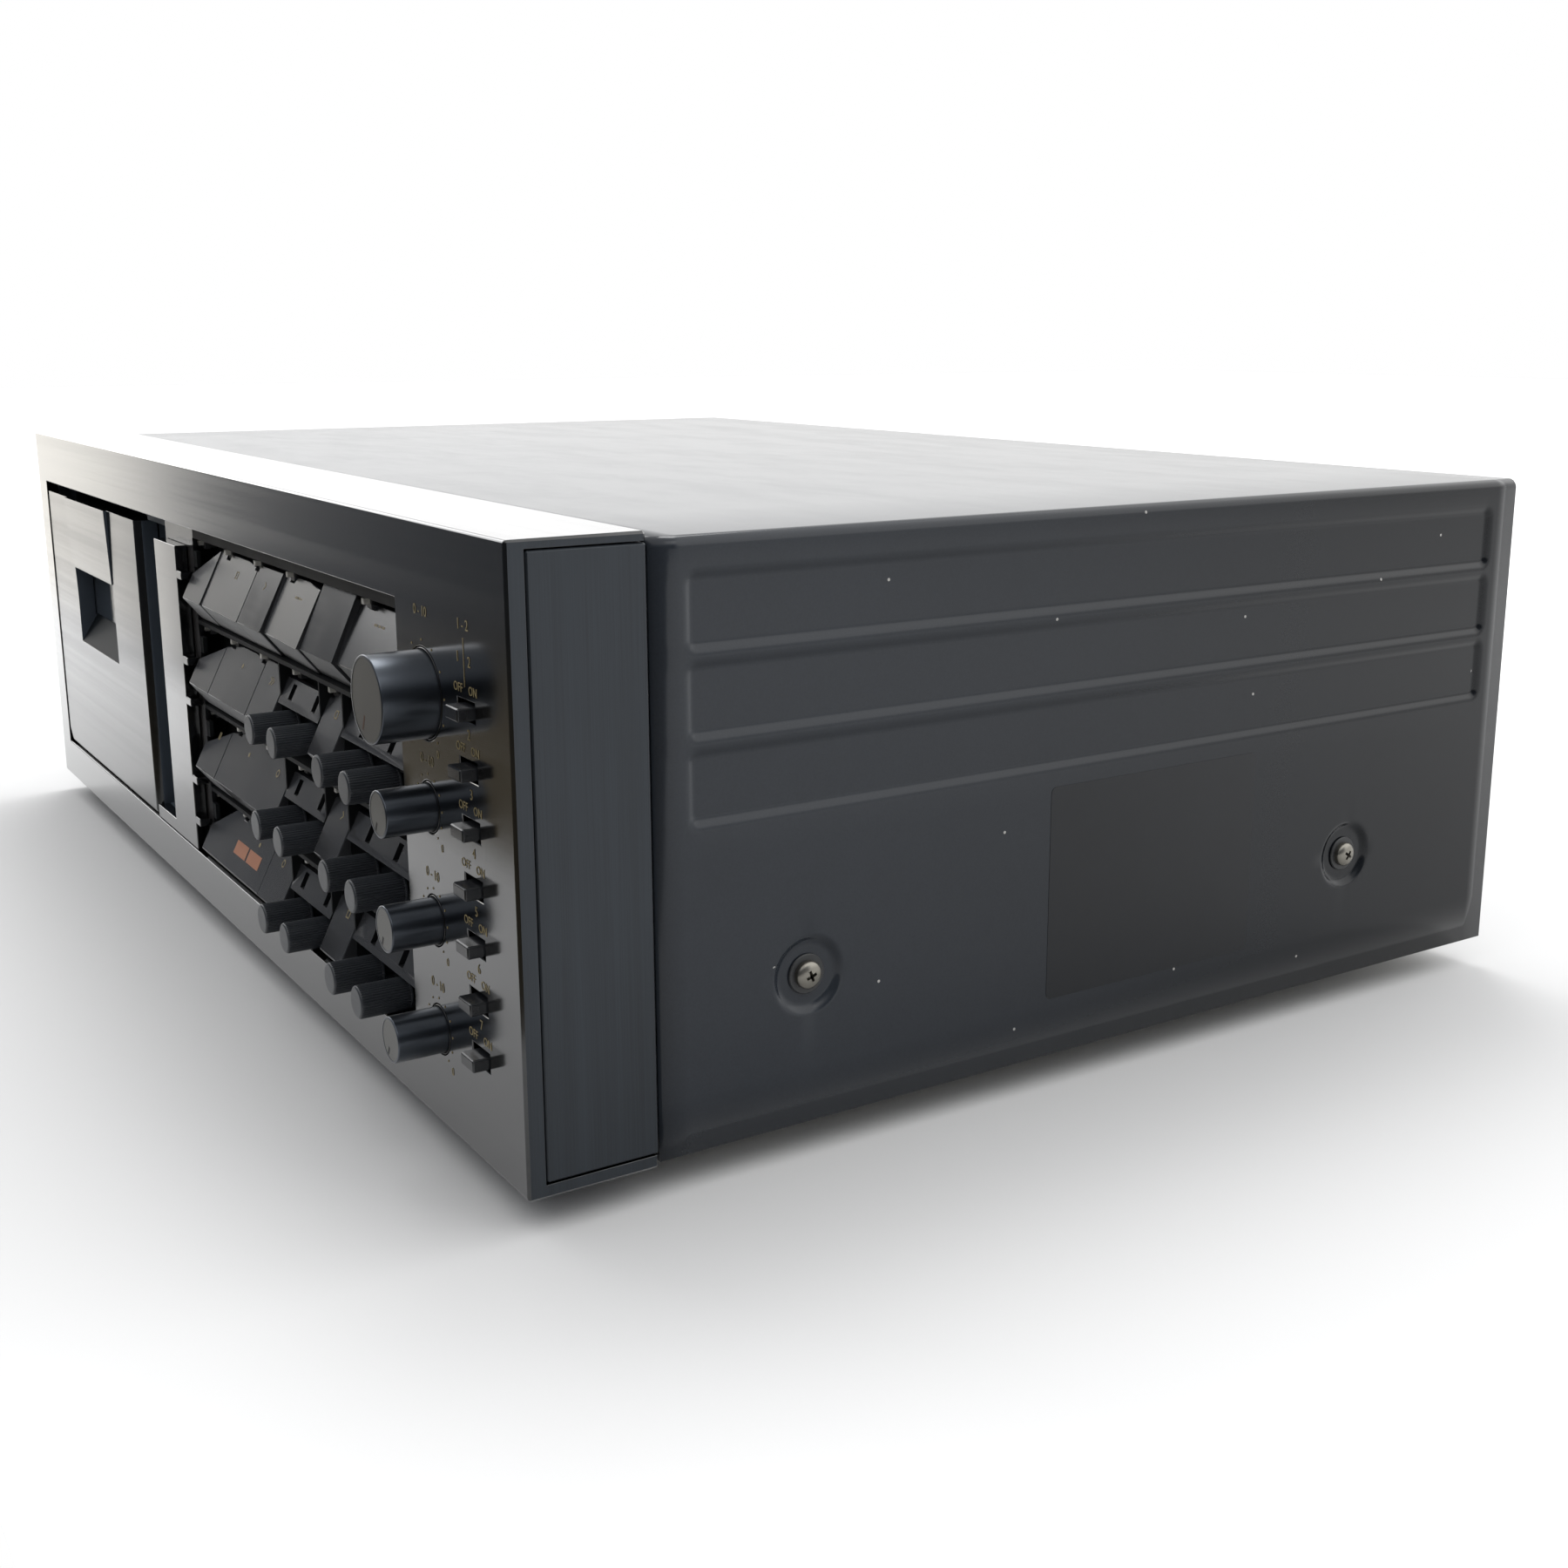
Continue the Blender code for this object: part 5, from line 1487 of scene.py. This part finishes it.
@dataclass
class PrintedMarks:
    """Plain printed signs: symbols on the keys, numbers and dots round the knobs."""

    facet_rise: float = 0.0107
    ridge_top: float = 0.0952
    row_pitch: float = 0.0260
    text_height: float = 0.0023
    dot_radius: float = 0.00028
    dots: int = 11
    dot_gap: float = 0.0021
    scale_start: float = 215.0
    scale_turn: float = 290.0
    scale_rise: float = 0.0052
    master_rise: float = 0.0082
    zero_place: Span = (0.0065, 0.0026)
    zero_size: float = 0.8
    fork_size: Span = (0.00025, 0.0100)
    fork_place: Span = (0.2030, 0.0098)
    fork_captions: tuple[tuple[str, Span], ...] = (
        ("1 - 2", (0.2030, 0.0174)), ("1", (0.1998, 0.0106)), ("2", (0.2057, 0.0101)),
    )
    number_place: Span = (0.2040, 0.0074)
    end_captions: tuple[tuple[str, Span], ...] = (("OFF", (0.1995, 0.0043)), ("ON", (0.2070, 0.0043)))
    end_size: float = 0.85
    block_size: Span = (0.0112, 0.0040)
    block_places: Span = (0.0160, 0.0285)
    block_rise: float = 0.0065
    lowest_row: int = 3

    key_marks: tuple[tuple[str, int, float, Mark], ...] = (
        ("key_1_2", 0, 0.0241, Mark.SQUARE),
        ("key_1_3", 0, 0.0511, Mark.CHEVRON),
        ("key_1_4", 0, 0.0796, Mark.RULE),
        ("key_1_5", 0, 0.1070, Mark.BARS),
        ("key_1_6", 0, 0.1348, Mark.RULE),
        ("key_2_2", 1, 0.0240, Mark.DOT),
        ("key_2_3", 1, 0.0517, Mark.DOUBLE_CHEVRON),
        ("selector_key_2", 1, 0.1050, Mark.SQUARE),
        ("key_3_1", 2, -0.0060, Mark.BARS),
        ("key_3_2", 2, 0.0241, Mark.DOT),
        ("key_3_2", 2, 0.0513, Mark.RING),
        ("selector_key_3", 2, 0.1050, Mark.CHEVRON),
        ("key_4_1", 3, 0.0285, Mark.DOT),
        ("key_4_2", 3, 0.0510, Mark.RING),
        ("selector_key_4", 3, 0.1050, Mark.SQUARE),
    )

    def sign(self, mark: Mark) -> bmesh.types.BMesh:
        """Return a flat sign about its middle, in the XY plane.

        Args:
            mark: Which sign.

        Returns:
            The sign.
        """
        shape = bmesh.new()
        unit = self.text_height

        def bar(x: float, y: float, wide: float, high: float, turn: float = 0.0) -> None:
            """Add a bar about a point, turned by so many degrees."""
            place = Matrix.Translation((x, y, 0.0)) @ Matrix.Rotation(math.radians(turn), 4, "Z")
            rectangle(shape, wide, high, place)

        thin = unit * 0.16
        if mark in (Mark.CHEVRON, Mark.DOUBLE_CHEVRON):
            for x in (0.0,) if mark is Mark.CHEVRON else (-unit * 0.35, unit * 0.35):
                bar(x, unit * 0.22, unit * 0.75, thin, -38.0)
                bar(x, -unit * 0.22, unit * 0.75, thin, 38.0)
        elif mark is Mark.SQUARE:
            for y in (-0.4, 0.4):
                bar(0.0, y * unit, unit * 0.96, thin)
                bar(y * unit, 0.0, thin, unit * 0.96)
        elif mark is Mark.BARS:
            for x in (-0.25, 0.25):
                bar(x * unit, 0.0, thin * 1.4, unit)
        elif mark is Mark.RULE:
            for x, wide in ((-1.1, 0.9), (0.0, 0.7), (1.05, 0.8)):
                bar(x * unit, 0.0, unit * wide, thin * 1.6)
        elif mark is Mark.DOT:
            bmesh.ops.create_circle(shape, cap_ends=True, segments=20, radius=unit * 0.3)
        elif mark is Mark.RING:
            bmesh.ops.create_circle(shape, cap_ends=True, segments=28, radius=unit * 0.5)
            face = list(shape.faces)[0]
            bmesh.ops.inset_region(shape, faces=[face], thickness=thin, use_boundary=True)
            bmesh.ops.delete(shape, geom=[face], context="FACES_ONLY")
        return shape

    def text(self, words: str, height: float) -> bmesh.types.BMesh:
        """Return flat plain numbers or an ON or OFF about their middle, in the XY plane.

        Args:
            words: What they say.
            height: Height of the figures.

        Returns:
            The figures.
        """
        curve = bpy.data.curves.new("print", "FONT")
        curve.body = words
        curve.size = height / 0.72
        curve.align_x = "CENTER"
        curve.align_y = "CENTER"
        curve.resolution_u = 3
        item = bpy.data.objects.new("print", curve)
        bpy.context.scene.collection.objects.link(item)
        evaluated = item.evaluated_get(bpy.context.evaluated_depsgraph_get())
        shape = bmesh.new()
        shape.from_mesh(evaluated.to_mesh())
        evaluated.to_mesh_clear()
        bpy.data.objects.remove(item)
        bpy.data.curves.remove(curve)
        bmesh.ops.remove_doubles(shape, verts=shape.verts[:], dist=MERGE_DISTANCE)
        return shape

    def raised(self, shape: bmesh.types.BMesh, place: Matrix) -> bmesh.types.BMesh:
        """Give flat signs the thickness of ink and put them in place.

        Args:
            shape: Flat signs in the XY plane.
            place: Where their plane lies.

        Returns:
            The same shape.
        """
        bmesh.ops.recalc_face_normals(shape, faces=shape.faces[:])
        drawn = bmesh.ops.extrude_face_region(shape, geom=shape.faces[:])
        top = [part for part in drawn["geom"] if isinstance(part, bmesh.types.BMVert)]
        bmesh.ops.translate(shape, vec=(0, 0, PRINT_THICKNESS), verts=top)
        bmesh.ops.transform(shape, matrix=place, verts=shape.verts[:])
        bmesh.ops.recalc_face_normals(shape, faces=shape.faces[:])
        return shape

    def on_panel(self, across: float, height: float) -> Matrix:
        """Return the place of a sign on the panel's face."""
        spot = PANEL.at(across, -PRINT_LIFT - PRINT_THICKNESS, height)
        return Matrix.Translation(spot) @ Matrix.Rotation(math.pi / 2, 4, "X")

    def on_facet(self, across: float, row: int, rise: float) -> Matrix:
        """Return the place of a sign on a key's upper facet.

        Args:
            across: Distance to the right of the middle.
            row: Row of keys, from the top.
            rise: Height above the key's ridge.

        Returns:
            The place, with the sign's plane in the facet.
        """
        ridge = self.ridge_top - row * self.row_pitch
        spot = PANEL.at(across, rise / FACET_SLOPE, ridge + rise) + FACET_OUT * PRINT_LIFT
        turn = Matrix((RIGHT, FACET_UP, FACET_OUT)).transposed().to_4x4()
        return Matrix.Translation(spot) @ turn

    def write(self, shape: bmesh.types.BMesh, words: str, size: float, place: Matrix) -> None:
        """Add raised figures to a shape.

        Args:
            shape: The shape that grows.
            words: What they say.
            size: Their height.
            place: Where their plane lies.
        """
        join(shape, self.raised(self.text(words, size), place))

    def key_signs(self) -> None:
        """Print a sign on each key that has one."""
        for index, (node, row, across, mark) in enumerate(self.key_marks):
            behind = Vector((0.0, key_set_back(node, across), 0.0))
            place = Matrix.Translation(behind) @ self.on_facet(across, row, self.facet_rise)
            shape = self.raised(self.sign(mark), place)
            add_piece("sign_%02d_%s" % (index + 1, node), shape, GOLD_INK, node)

    def record_blocks(self) -> None:
        """Print the pair of orange blocks on the lowest row."""
        shape = bmesh.new()
        for across in self.block_places:
            mark = bmesh.new()
            rectangle(mark, *self.block_size)
            join(shape, self.raised(mark, self.on_facet(across, self.lowest_row, self.block_rise)))
        add_piece("record_blocks", shape, ORANGE_INK, "key_4_1")

    def knob_scale(self, node: str) -> bmesh.types.BMesh:
        """Return the dots and end numbers round a knob.

        Args:
            node: The knob.

        Returns:
            The scale.
        """
        knob = Turned.of(node)
        middle, height = knob.centre.x, knob.centre.z - PANEL.base
        reach = knob.radius + self.dot_gap
        shape = bmesh.new()
        for index in range(self.dots):
            turn = math.radians(self.scale_start + self.scale_turn * index / (self.dots - 1))
            dot = bmesh.new()
            bmesh.ops.create_circle(dot, cap_ends=True, segments=12, radius=self.dot_radius)
            place = self.on_panel(middle + reach * math.sin(turn), height + reach * math.cos(turn))
            join(shape, self.raised(dot, place))
        rise = knob.radius + (self.master_rise if node == "master_knob" else self.scale_rise)
        self.write(shape, "0 - 10", self.text_height, self.on_panel(middle, height + rise))
        right, drop = self.zero_place
        place = self.on_panel(middle + right, height - knob.radius - drop)
        self.write(shape, "0", self.text_height * self.zero_size, place)
        return shape

    def switch_captions(self) -> bmesh.types.BMesh:
        """Return a number and OFF and ON over each lever but the first, which has a fork of lines."""
        shape = bmesh.new()
        levers = sorted(node for node in frame["nodes"] if node.startswith("switch_lever"))
        for index, node in enumerate(levers):
            low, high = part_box(node)
            middle = (low.z + high.z) / 2 - PANEL.base
            captions = (("%d" % (index + 1), self.number_place),)
            if index == 0:
                across, rise = self.fork_place
                line = bmesh.new()
                rectangle(line, *self.fork_size)
                join(shape, self.raised(line, self.on_panel(across, middle + rise)))
                captions = self.fork_captions
            for group, size in ((captions, 1.0), (self.end_captions, self.end_size)):
                for words, (across, rise) in group:
                    place = self.on_panel(across, middle + rise)
                    self.write(shape, words, self.text_height * size, place)
        return shape

    def build(self) -> None:
        """Print everything."""
        self.key_signs()
        self.record_blocks()
        for node in ("master_knob", "left_knob", "right_knob", "output_knob"):
            add_piece(node + "_scale", self.knob_scale(node), GOLD_INK, "front_panel")
        add_piece("switch_captions", self.switch_captions(), GOLD_INK, "front_panel")


@dataclass
class RearSide:
    """The rear panel with its sockets and screws, the cord gland and the feet."""

    jack_places: tuple[Span, ...] = (
        (-0.159, 0.085), (-0.141, 0.085), (-0.159, 0.065), (-0.141, 0.065),
    )
    jack_radius: float = 0.00442
    jack_wall: float = 0.0009
    jack_start: float = 0.0030
    sheet: float = 0.0012
    screw_lift: float = 0.0013
    gland_bore: float = 0.0032
    gland_soft: float = 0.0006
    lip: float = 0.0015
    foot_inset: float = 0.0030
    foot_hole: float = 0.0040
    screw_places: tuple[Span, ...] = (
        (-0.205, 0.022), (-0.205, 0.118), (0.0, 0.118), (0.205, 0.118), (0.205, 0.022), (0.0, 0.022),
    )

    def panel(self) -> None:
        """Dress the rear panel with softened edges."""
        shape = dressed("rear_panel")
        round_edges(shape, 0.00015)
        add_piece("rear_panel_dressed", shape, REAR_PAINT, "rear_panel", stands_in=True)

    def jacks(self) -> None:
        """Put a plated shell and a coloured ring on each line socket."""
        low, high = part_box("rear_panel")
        face = low.y + self.sheet
        length = high.y - face
        outer, start = self.jack_radius, self.jack_start
        inner = outer - self.jack_wall
        shell = [(outer, start), (outer, length - 0.0005), (outer - 0.0004, length)]
        shell += [(inner, length), (inner, start), (outer, start)]
        ring = [(outer + 0.0001, 0.00005), (outer + 0.0016, 0.00005), (outer + 0.0016, 0.0016)]
        ring += [(outer + 0.0012, 0.0020), (outer + 0.0001, 0.0020), (outer + 0.0001, 0.00005)]
        for index, (across, height) in enumerate(self.jack_places):
            base = Vector((across, face, PANEL.base + height))
            colour = RED_PLASTIC if index % 2 else WHITE_PLASTIC
            parts = (("shell", shell, NICKEL, METAL_SLOT), ("ring", ring, colour, PLASTIC_SLOT))
            for kind, profile, finish, slot in parts:
                name = "jack_%s_%d" % (kind, index + 1)
                add_piece(name, spun(profile, base, BACK, 48), finish, "rear_panel", slot)

    def screws(self, maker: CoverScrews) -> None:
        """Put small screws round the edge of the rear panel.

        Args:
            maker: Makes the screws.
        """
        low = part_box("rear_panel")[0]
        for index, (across, height) in enumerate(self.screw_places):
            seat = Vector((across, low.y + self.screw_lift, PANEL.base + height))
            name = "rear_screw_%d" % (index + 1)
            maker.screw(name, "rear_panel", seat, BACK, 15.0 + 25.0 * index)

    def gland(self) -> None:
        """Turn the cord gland with rounded lips."""
        gland = Turned.of("cord_gland")
        radius, length, lip = gland.radius, gland.length, self.lip
        bore, soft = self.gland_bore, self.gland_soft
        profile = [(bore, 0.0), (radius, 0.0)]
        profile += arc((radius - lip, length - lip), lip, 0.0, 90.0, 6)
        profile += [(bore + soft, length), (bore, length - soft), (bore, 0.0)]
        shape = spun(profile, gland.centre, BACK, 64)
        add_piece("cord_gland_turned", shape, HOUSING, "cord_gland", stands_in=True)

    def feet(self, maker: CoverScrews) -> None:
        """Turn the rubber feet, each with a sunk screw.

        Args:
            maker: Makes the screws.
        """
        down = Vector((0, 0, -1))
        for node in ("foot_front_left", "foot_front_right", "foot_rear_left", "foot_rear_right"):
            low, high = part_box(node)
            top = Vector(((low.x + high.x) / 2, (low.y + high.y) / 2, high.z))
            radius = (high.x - low.x) / 2
            tall = high.z - low.z
            floor = tall - self.foot_hole
            profile = [(0.0, 0.0), (radius, 0.0)]
            profile += arc((radius - self.foot_inset, tall - self.lip), self.lip, 0.0, 90.0, 6)
            profile += [(0.0090, tall), (0.0080, tall - 0.0010), (0.0074, floor), (0.0, floor)]
            shape = spun(profile, top, down, 72)
            add_piece(node + "_turned", shape, FOOT_RUBBER, node, stands_in=True)
            maker.screw(node + "_screw", node, top + down * floor, down, 30.0)

    def build(self, maker: CoverScrews) -> None:
        """Build the rear panel, its sockets, the screws, the gland and the feet.

        Args:
            maker: Makes the screw heads.
        """
        self.panel()
        self.jacks()
        self.screws(maker)
        self.gland()
        self.feet(maker)


@dataclass
class LabelFilm:
    """A bare clear film on the right side of the cover."""

    front: float = 0.137
    rear: float = 0.205
    bottom: float = 0.015
    top: float = 0.068
    corner: float = 0.0015
    thickness: float = 0.00008

    def build(self) -> None:
        """Lay the film on the paint."""
        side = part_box("top_cover")[1].x
        low = PANEL.at(side, self.front, self.bottom)
        high = PANEL.at(side + self.thickness, self.rear, self.top)
        shape = box_shape(low, high)
        upright = [
            e for e in shape.edges
            if abs((e.verts[0].co - e.verts[1].co).normalized().x) > SQUARE_ON
        ]
        bmesh.ops.bevel(
            shape, geom=upright, offset=self.corner, offset_type="OFFSET", segments=6, profile=0.5,
            affect="EDGES", material=-1,
        )
        add_piece("label_film", shape, LABEL_FILM, "top_cover")


@dataclass
class Studio:
    """A pale floor, soft light and the camera."""

    camera_place: Vector
    azimuth: float = 56.76
    elevation: float = 12.76
    lens: float = 41.67
    shift: Span = (-0.0241, -0.0259)
    floor_half: float = 6.0
    floor_front: float = -0.255
    floor_colour: Colour = (0.57, 0.57, 0.57)
    bright: float = 1.30
    glow: float = 0.35
    window: float = 1.1
    dim: float = 0.10
    white: Colour = (1.0, 1.0, 1.0)
    glow_tint: Colour = (1.0, 0.968, 0.905)
    room_tint: Colour = (0.92, 0.99, 1.12)
    ground_tint: Colour = (1.65, 1.43, 1.05)
    ground: Span = (-0.22, -0.14)
    room_sides: tuple[Span, Span] = ((0.0705, 0.0775), (-0.93, -0.83))
    room_top: Span = (0.35, 0.75)
    glow_side: Span = (-0.02, 0.03)
    glow_top: Span = (0.10, 0.40)
    window_sides: tuple[Span, Span] = ((-0.95, -0.85), (-0.45, -0.30))
    window_ends: tuple[Span, Span] = ((0.15, 0.35), (0.80, 0.95))
    lamps: tuple[tuple[str, Colour, float, float], ...] = (
        ("ceiling_lamp", (-0.5, 0.3, 1.6), 0.8, 14.0),
        ("right_lamp", (1.15, 0.05, 1.30), 0.7, 2.0),
        ("left_lamp", (-1.6, -0.6, 0.9), 1.0, 8.0),
    )
    lamp_target: Colour = (0.0, 0.0, 0.08)

    def floor(self) -> None:
        """Lay the floor."""
        shape = bmesh.new()
        bmesh.ops.create_grid(shape, x_segments=1, y_segments=1, size=self.floor_half)
        front = [corner for corner in shape.verts if corner.co.y < 0]
        bmesh.ops.translate(shape, vec=(0, self.floor_half + self.floor_front, 0), verts=front)
        mesh = bpy.data.meshes.new("floor")
        shape.to_mesh(mesh)
        shape.free()
        floor = bpy.data.objects.new("floor", mesh)
        bpy.context.scene.collection.objects.link(floor)
        mesh.materials.append(PaperFinish("pale_floor", self.floor_colour, 0.85).material())

    def world(self) -> None:
        """Light from all round: bright to the left, behind and above, dim from the room elsewhere.

        The turn is 0 to the left, 0.5 in front, -0.5 behind and 1 or -1 to the right.
        """
        world = bpy.data.worlds.new("studio")
        bpy.context.scene.world = world
        world.use_nodes = True
        graph = Graph(world.node_tree)
        background = world.node_tree.nodes["Background"]
        where = Signal(graph, graph.node("ShaderNodeTexCoord").outputs["Generated"])
        left = 0.0 - graph.part(where, "X")
        front = 0.0 - graph.part(where, "Y")
        turn = front.angle_to(left) * (1.0 / math.pi)
        rise = graph.part(where, "Z")
        room = turn.ramp(*self.room_sides[0]) + turn.ramp(*self.room_sides[1], 1.0, 0.0)
        level = room * rise.ramp(*self.room_top, 1.0, 0.0)
        glow = turn.ramp(*self.glow_side) * rise.ramp(*self.glow_top, 1.0, 0.0)
        behind = turn.ramp(*self.window_sides[0]) * turn.ramp(*self.window_sides[1], 1.0, 0.0)
        behind = behind * rise.ramp(*self.window_ends[0])
        behind = behind * rise.ramp(*self.window_ends[1], 1.0, 0.0)
        bright = glow * self.glow + behind * self.window + self.bright
        light = level * (self.dim - bright) + bright
        shaded = graph.blend(rise.ramp(*self.ground), self.ground_tint, self.room_tint)
        lit = graph.blend(glow, self.white, self.glow_tint)
        camera = Signal(graph, graph.node("ShaderNodeLightPath").outputs["Is Camera Ray"])
        strength = light * (1.0 - camera) + camera
        colour = graph.blend(camera, graph.blend(level, lit, shaded), self.white)
        world.node_tree.links.new(strength.socket, background.inputs["Strength"])
        world.node_tree.links.new(colour.socket, background.inputs["Color"])

    def lamp(self, name: str, place: Vector, size: float, power: float) -> None:
        """Add a square soft lamp that looks at the deck.

        Args:
            name: Its name.
            place: Where it stands.
            size: Its side.
            power: Its power in watts.
        """
        light = bpy.data.lights.new(name, "AREA")
        light.size = size
        light.energy = power
        item = bpy.data.objects.new(name, light)
        item.location = place
        aim = Vector(self.lamp_target) - place
        item.rotation_euler = aim.to_track_quat("-Z", "Y").to_euler()
        bpy.context.scene.collection.objects.link(item)

    def camera(self) -> None:
        """Set the camera as the photograph was taken."""
        data = bpy.data.cameras.new("camera")
        data.lens = self.lens
        data.sensor_width = 36.0
        data.shift_x, data.shift_y = self.shift
        data.clip_start = 0.01
        data.clip_end = 50.0
        item = bpy.data.objects.new("camera", data)
        item.location = self.camera_place
        item.rotation_euler = (math.radians(90.0 - self.elevation), 0.0, math.radians(self.azimuth))
        bpy.context.scene.collection.objects.link(item)
        bpy.context.scene.camera = item

    def build(self) -> None:
        """Set up floor, light and camera."""
        self.camera()
        self.floor()
        self.world()
        for name, place, size, power in self.lamps:
            self.lamp(name, Vector(place), size, power)
        bpy.context.scene.view_settings.view_transform = "Standard"


def main() -> None:
    """Build the deck's pieces in order, then the studio."""
    logging.basicConfig(level=logging.INFO, format="%(message)s")
    Studio(camera_place=Vector((0.5412, -0.28455, 0.1808))).build()
    FrontPanel().build()
    cover = PressedCover()
    cover.build()
    screws = CoverScrews(cover)
    screws.build()
    PlainParts().build()
    KeyBay().build()
    CassetteDoor().build()
    SlideSwitches().build()
    RoundKnob("master_knob", mark_ink=BROWN_INK).build()
    for node in ("left_knob", "right_knob", "output_knob"):
        RoundKnob(node, face_tone=0.130).build()
    for node in sorted(frame["nodes"]):
        if node.startswith("trim_knob"):
            RibbedKnob(node).build()
    PrintedMarks().build()
    RearSide().build(screws)
    LabelFilm().build()


if __name__ == "__main__":
    main()
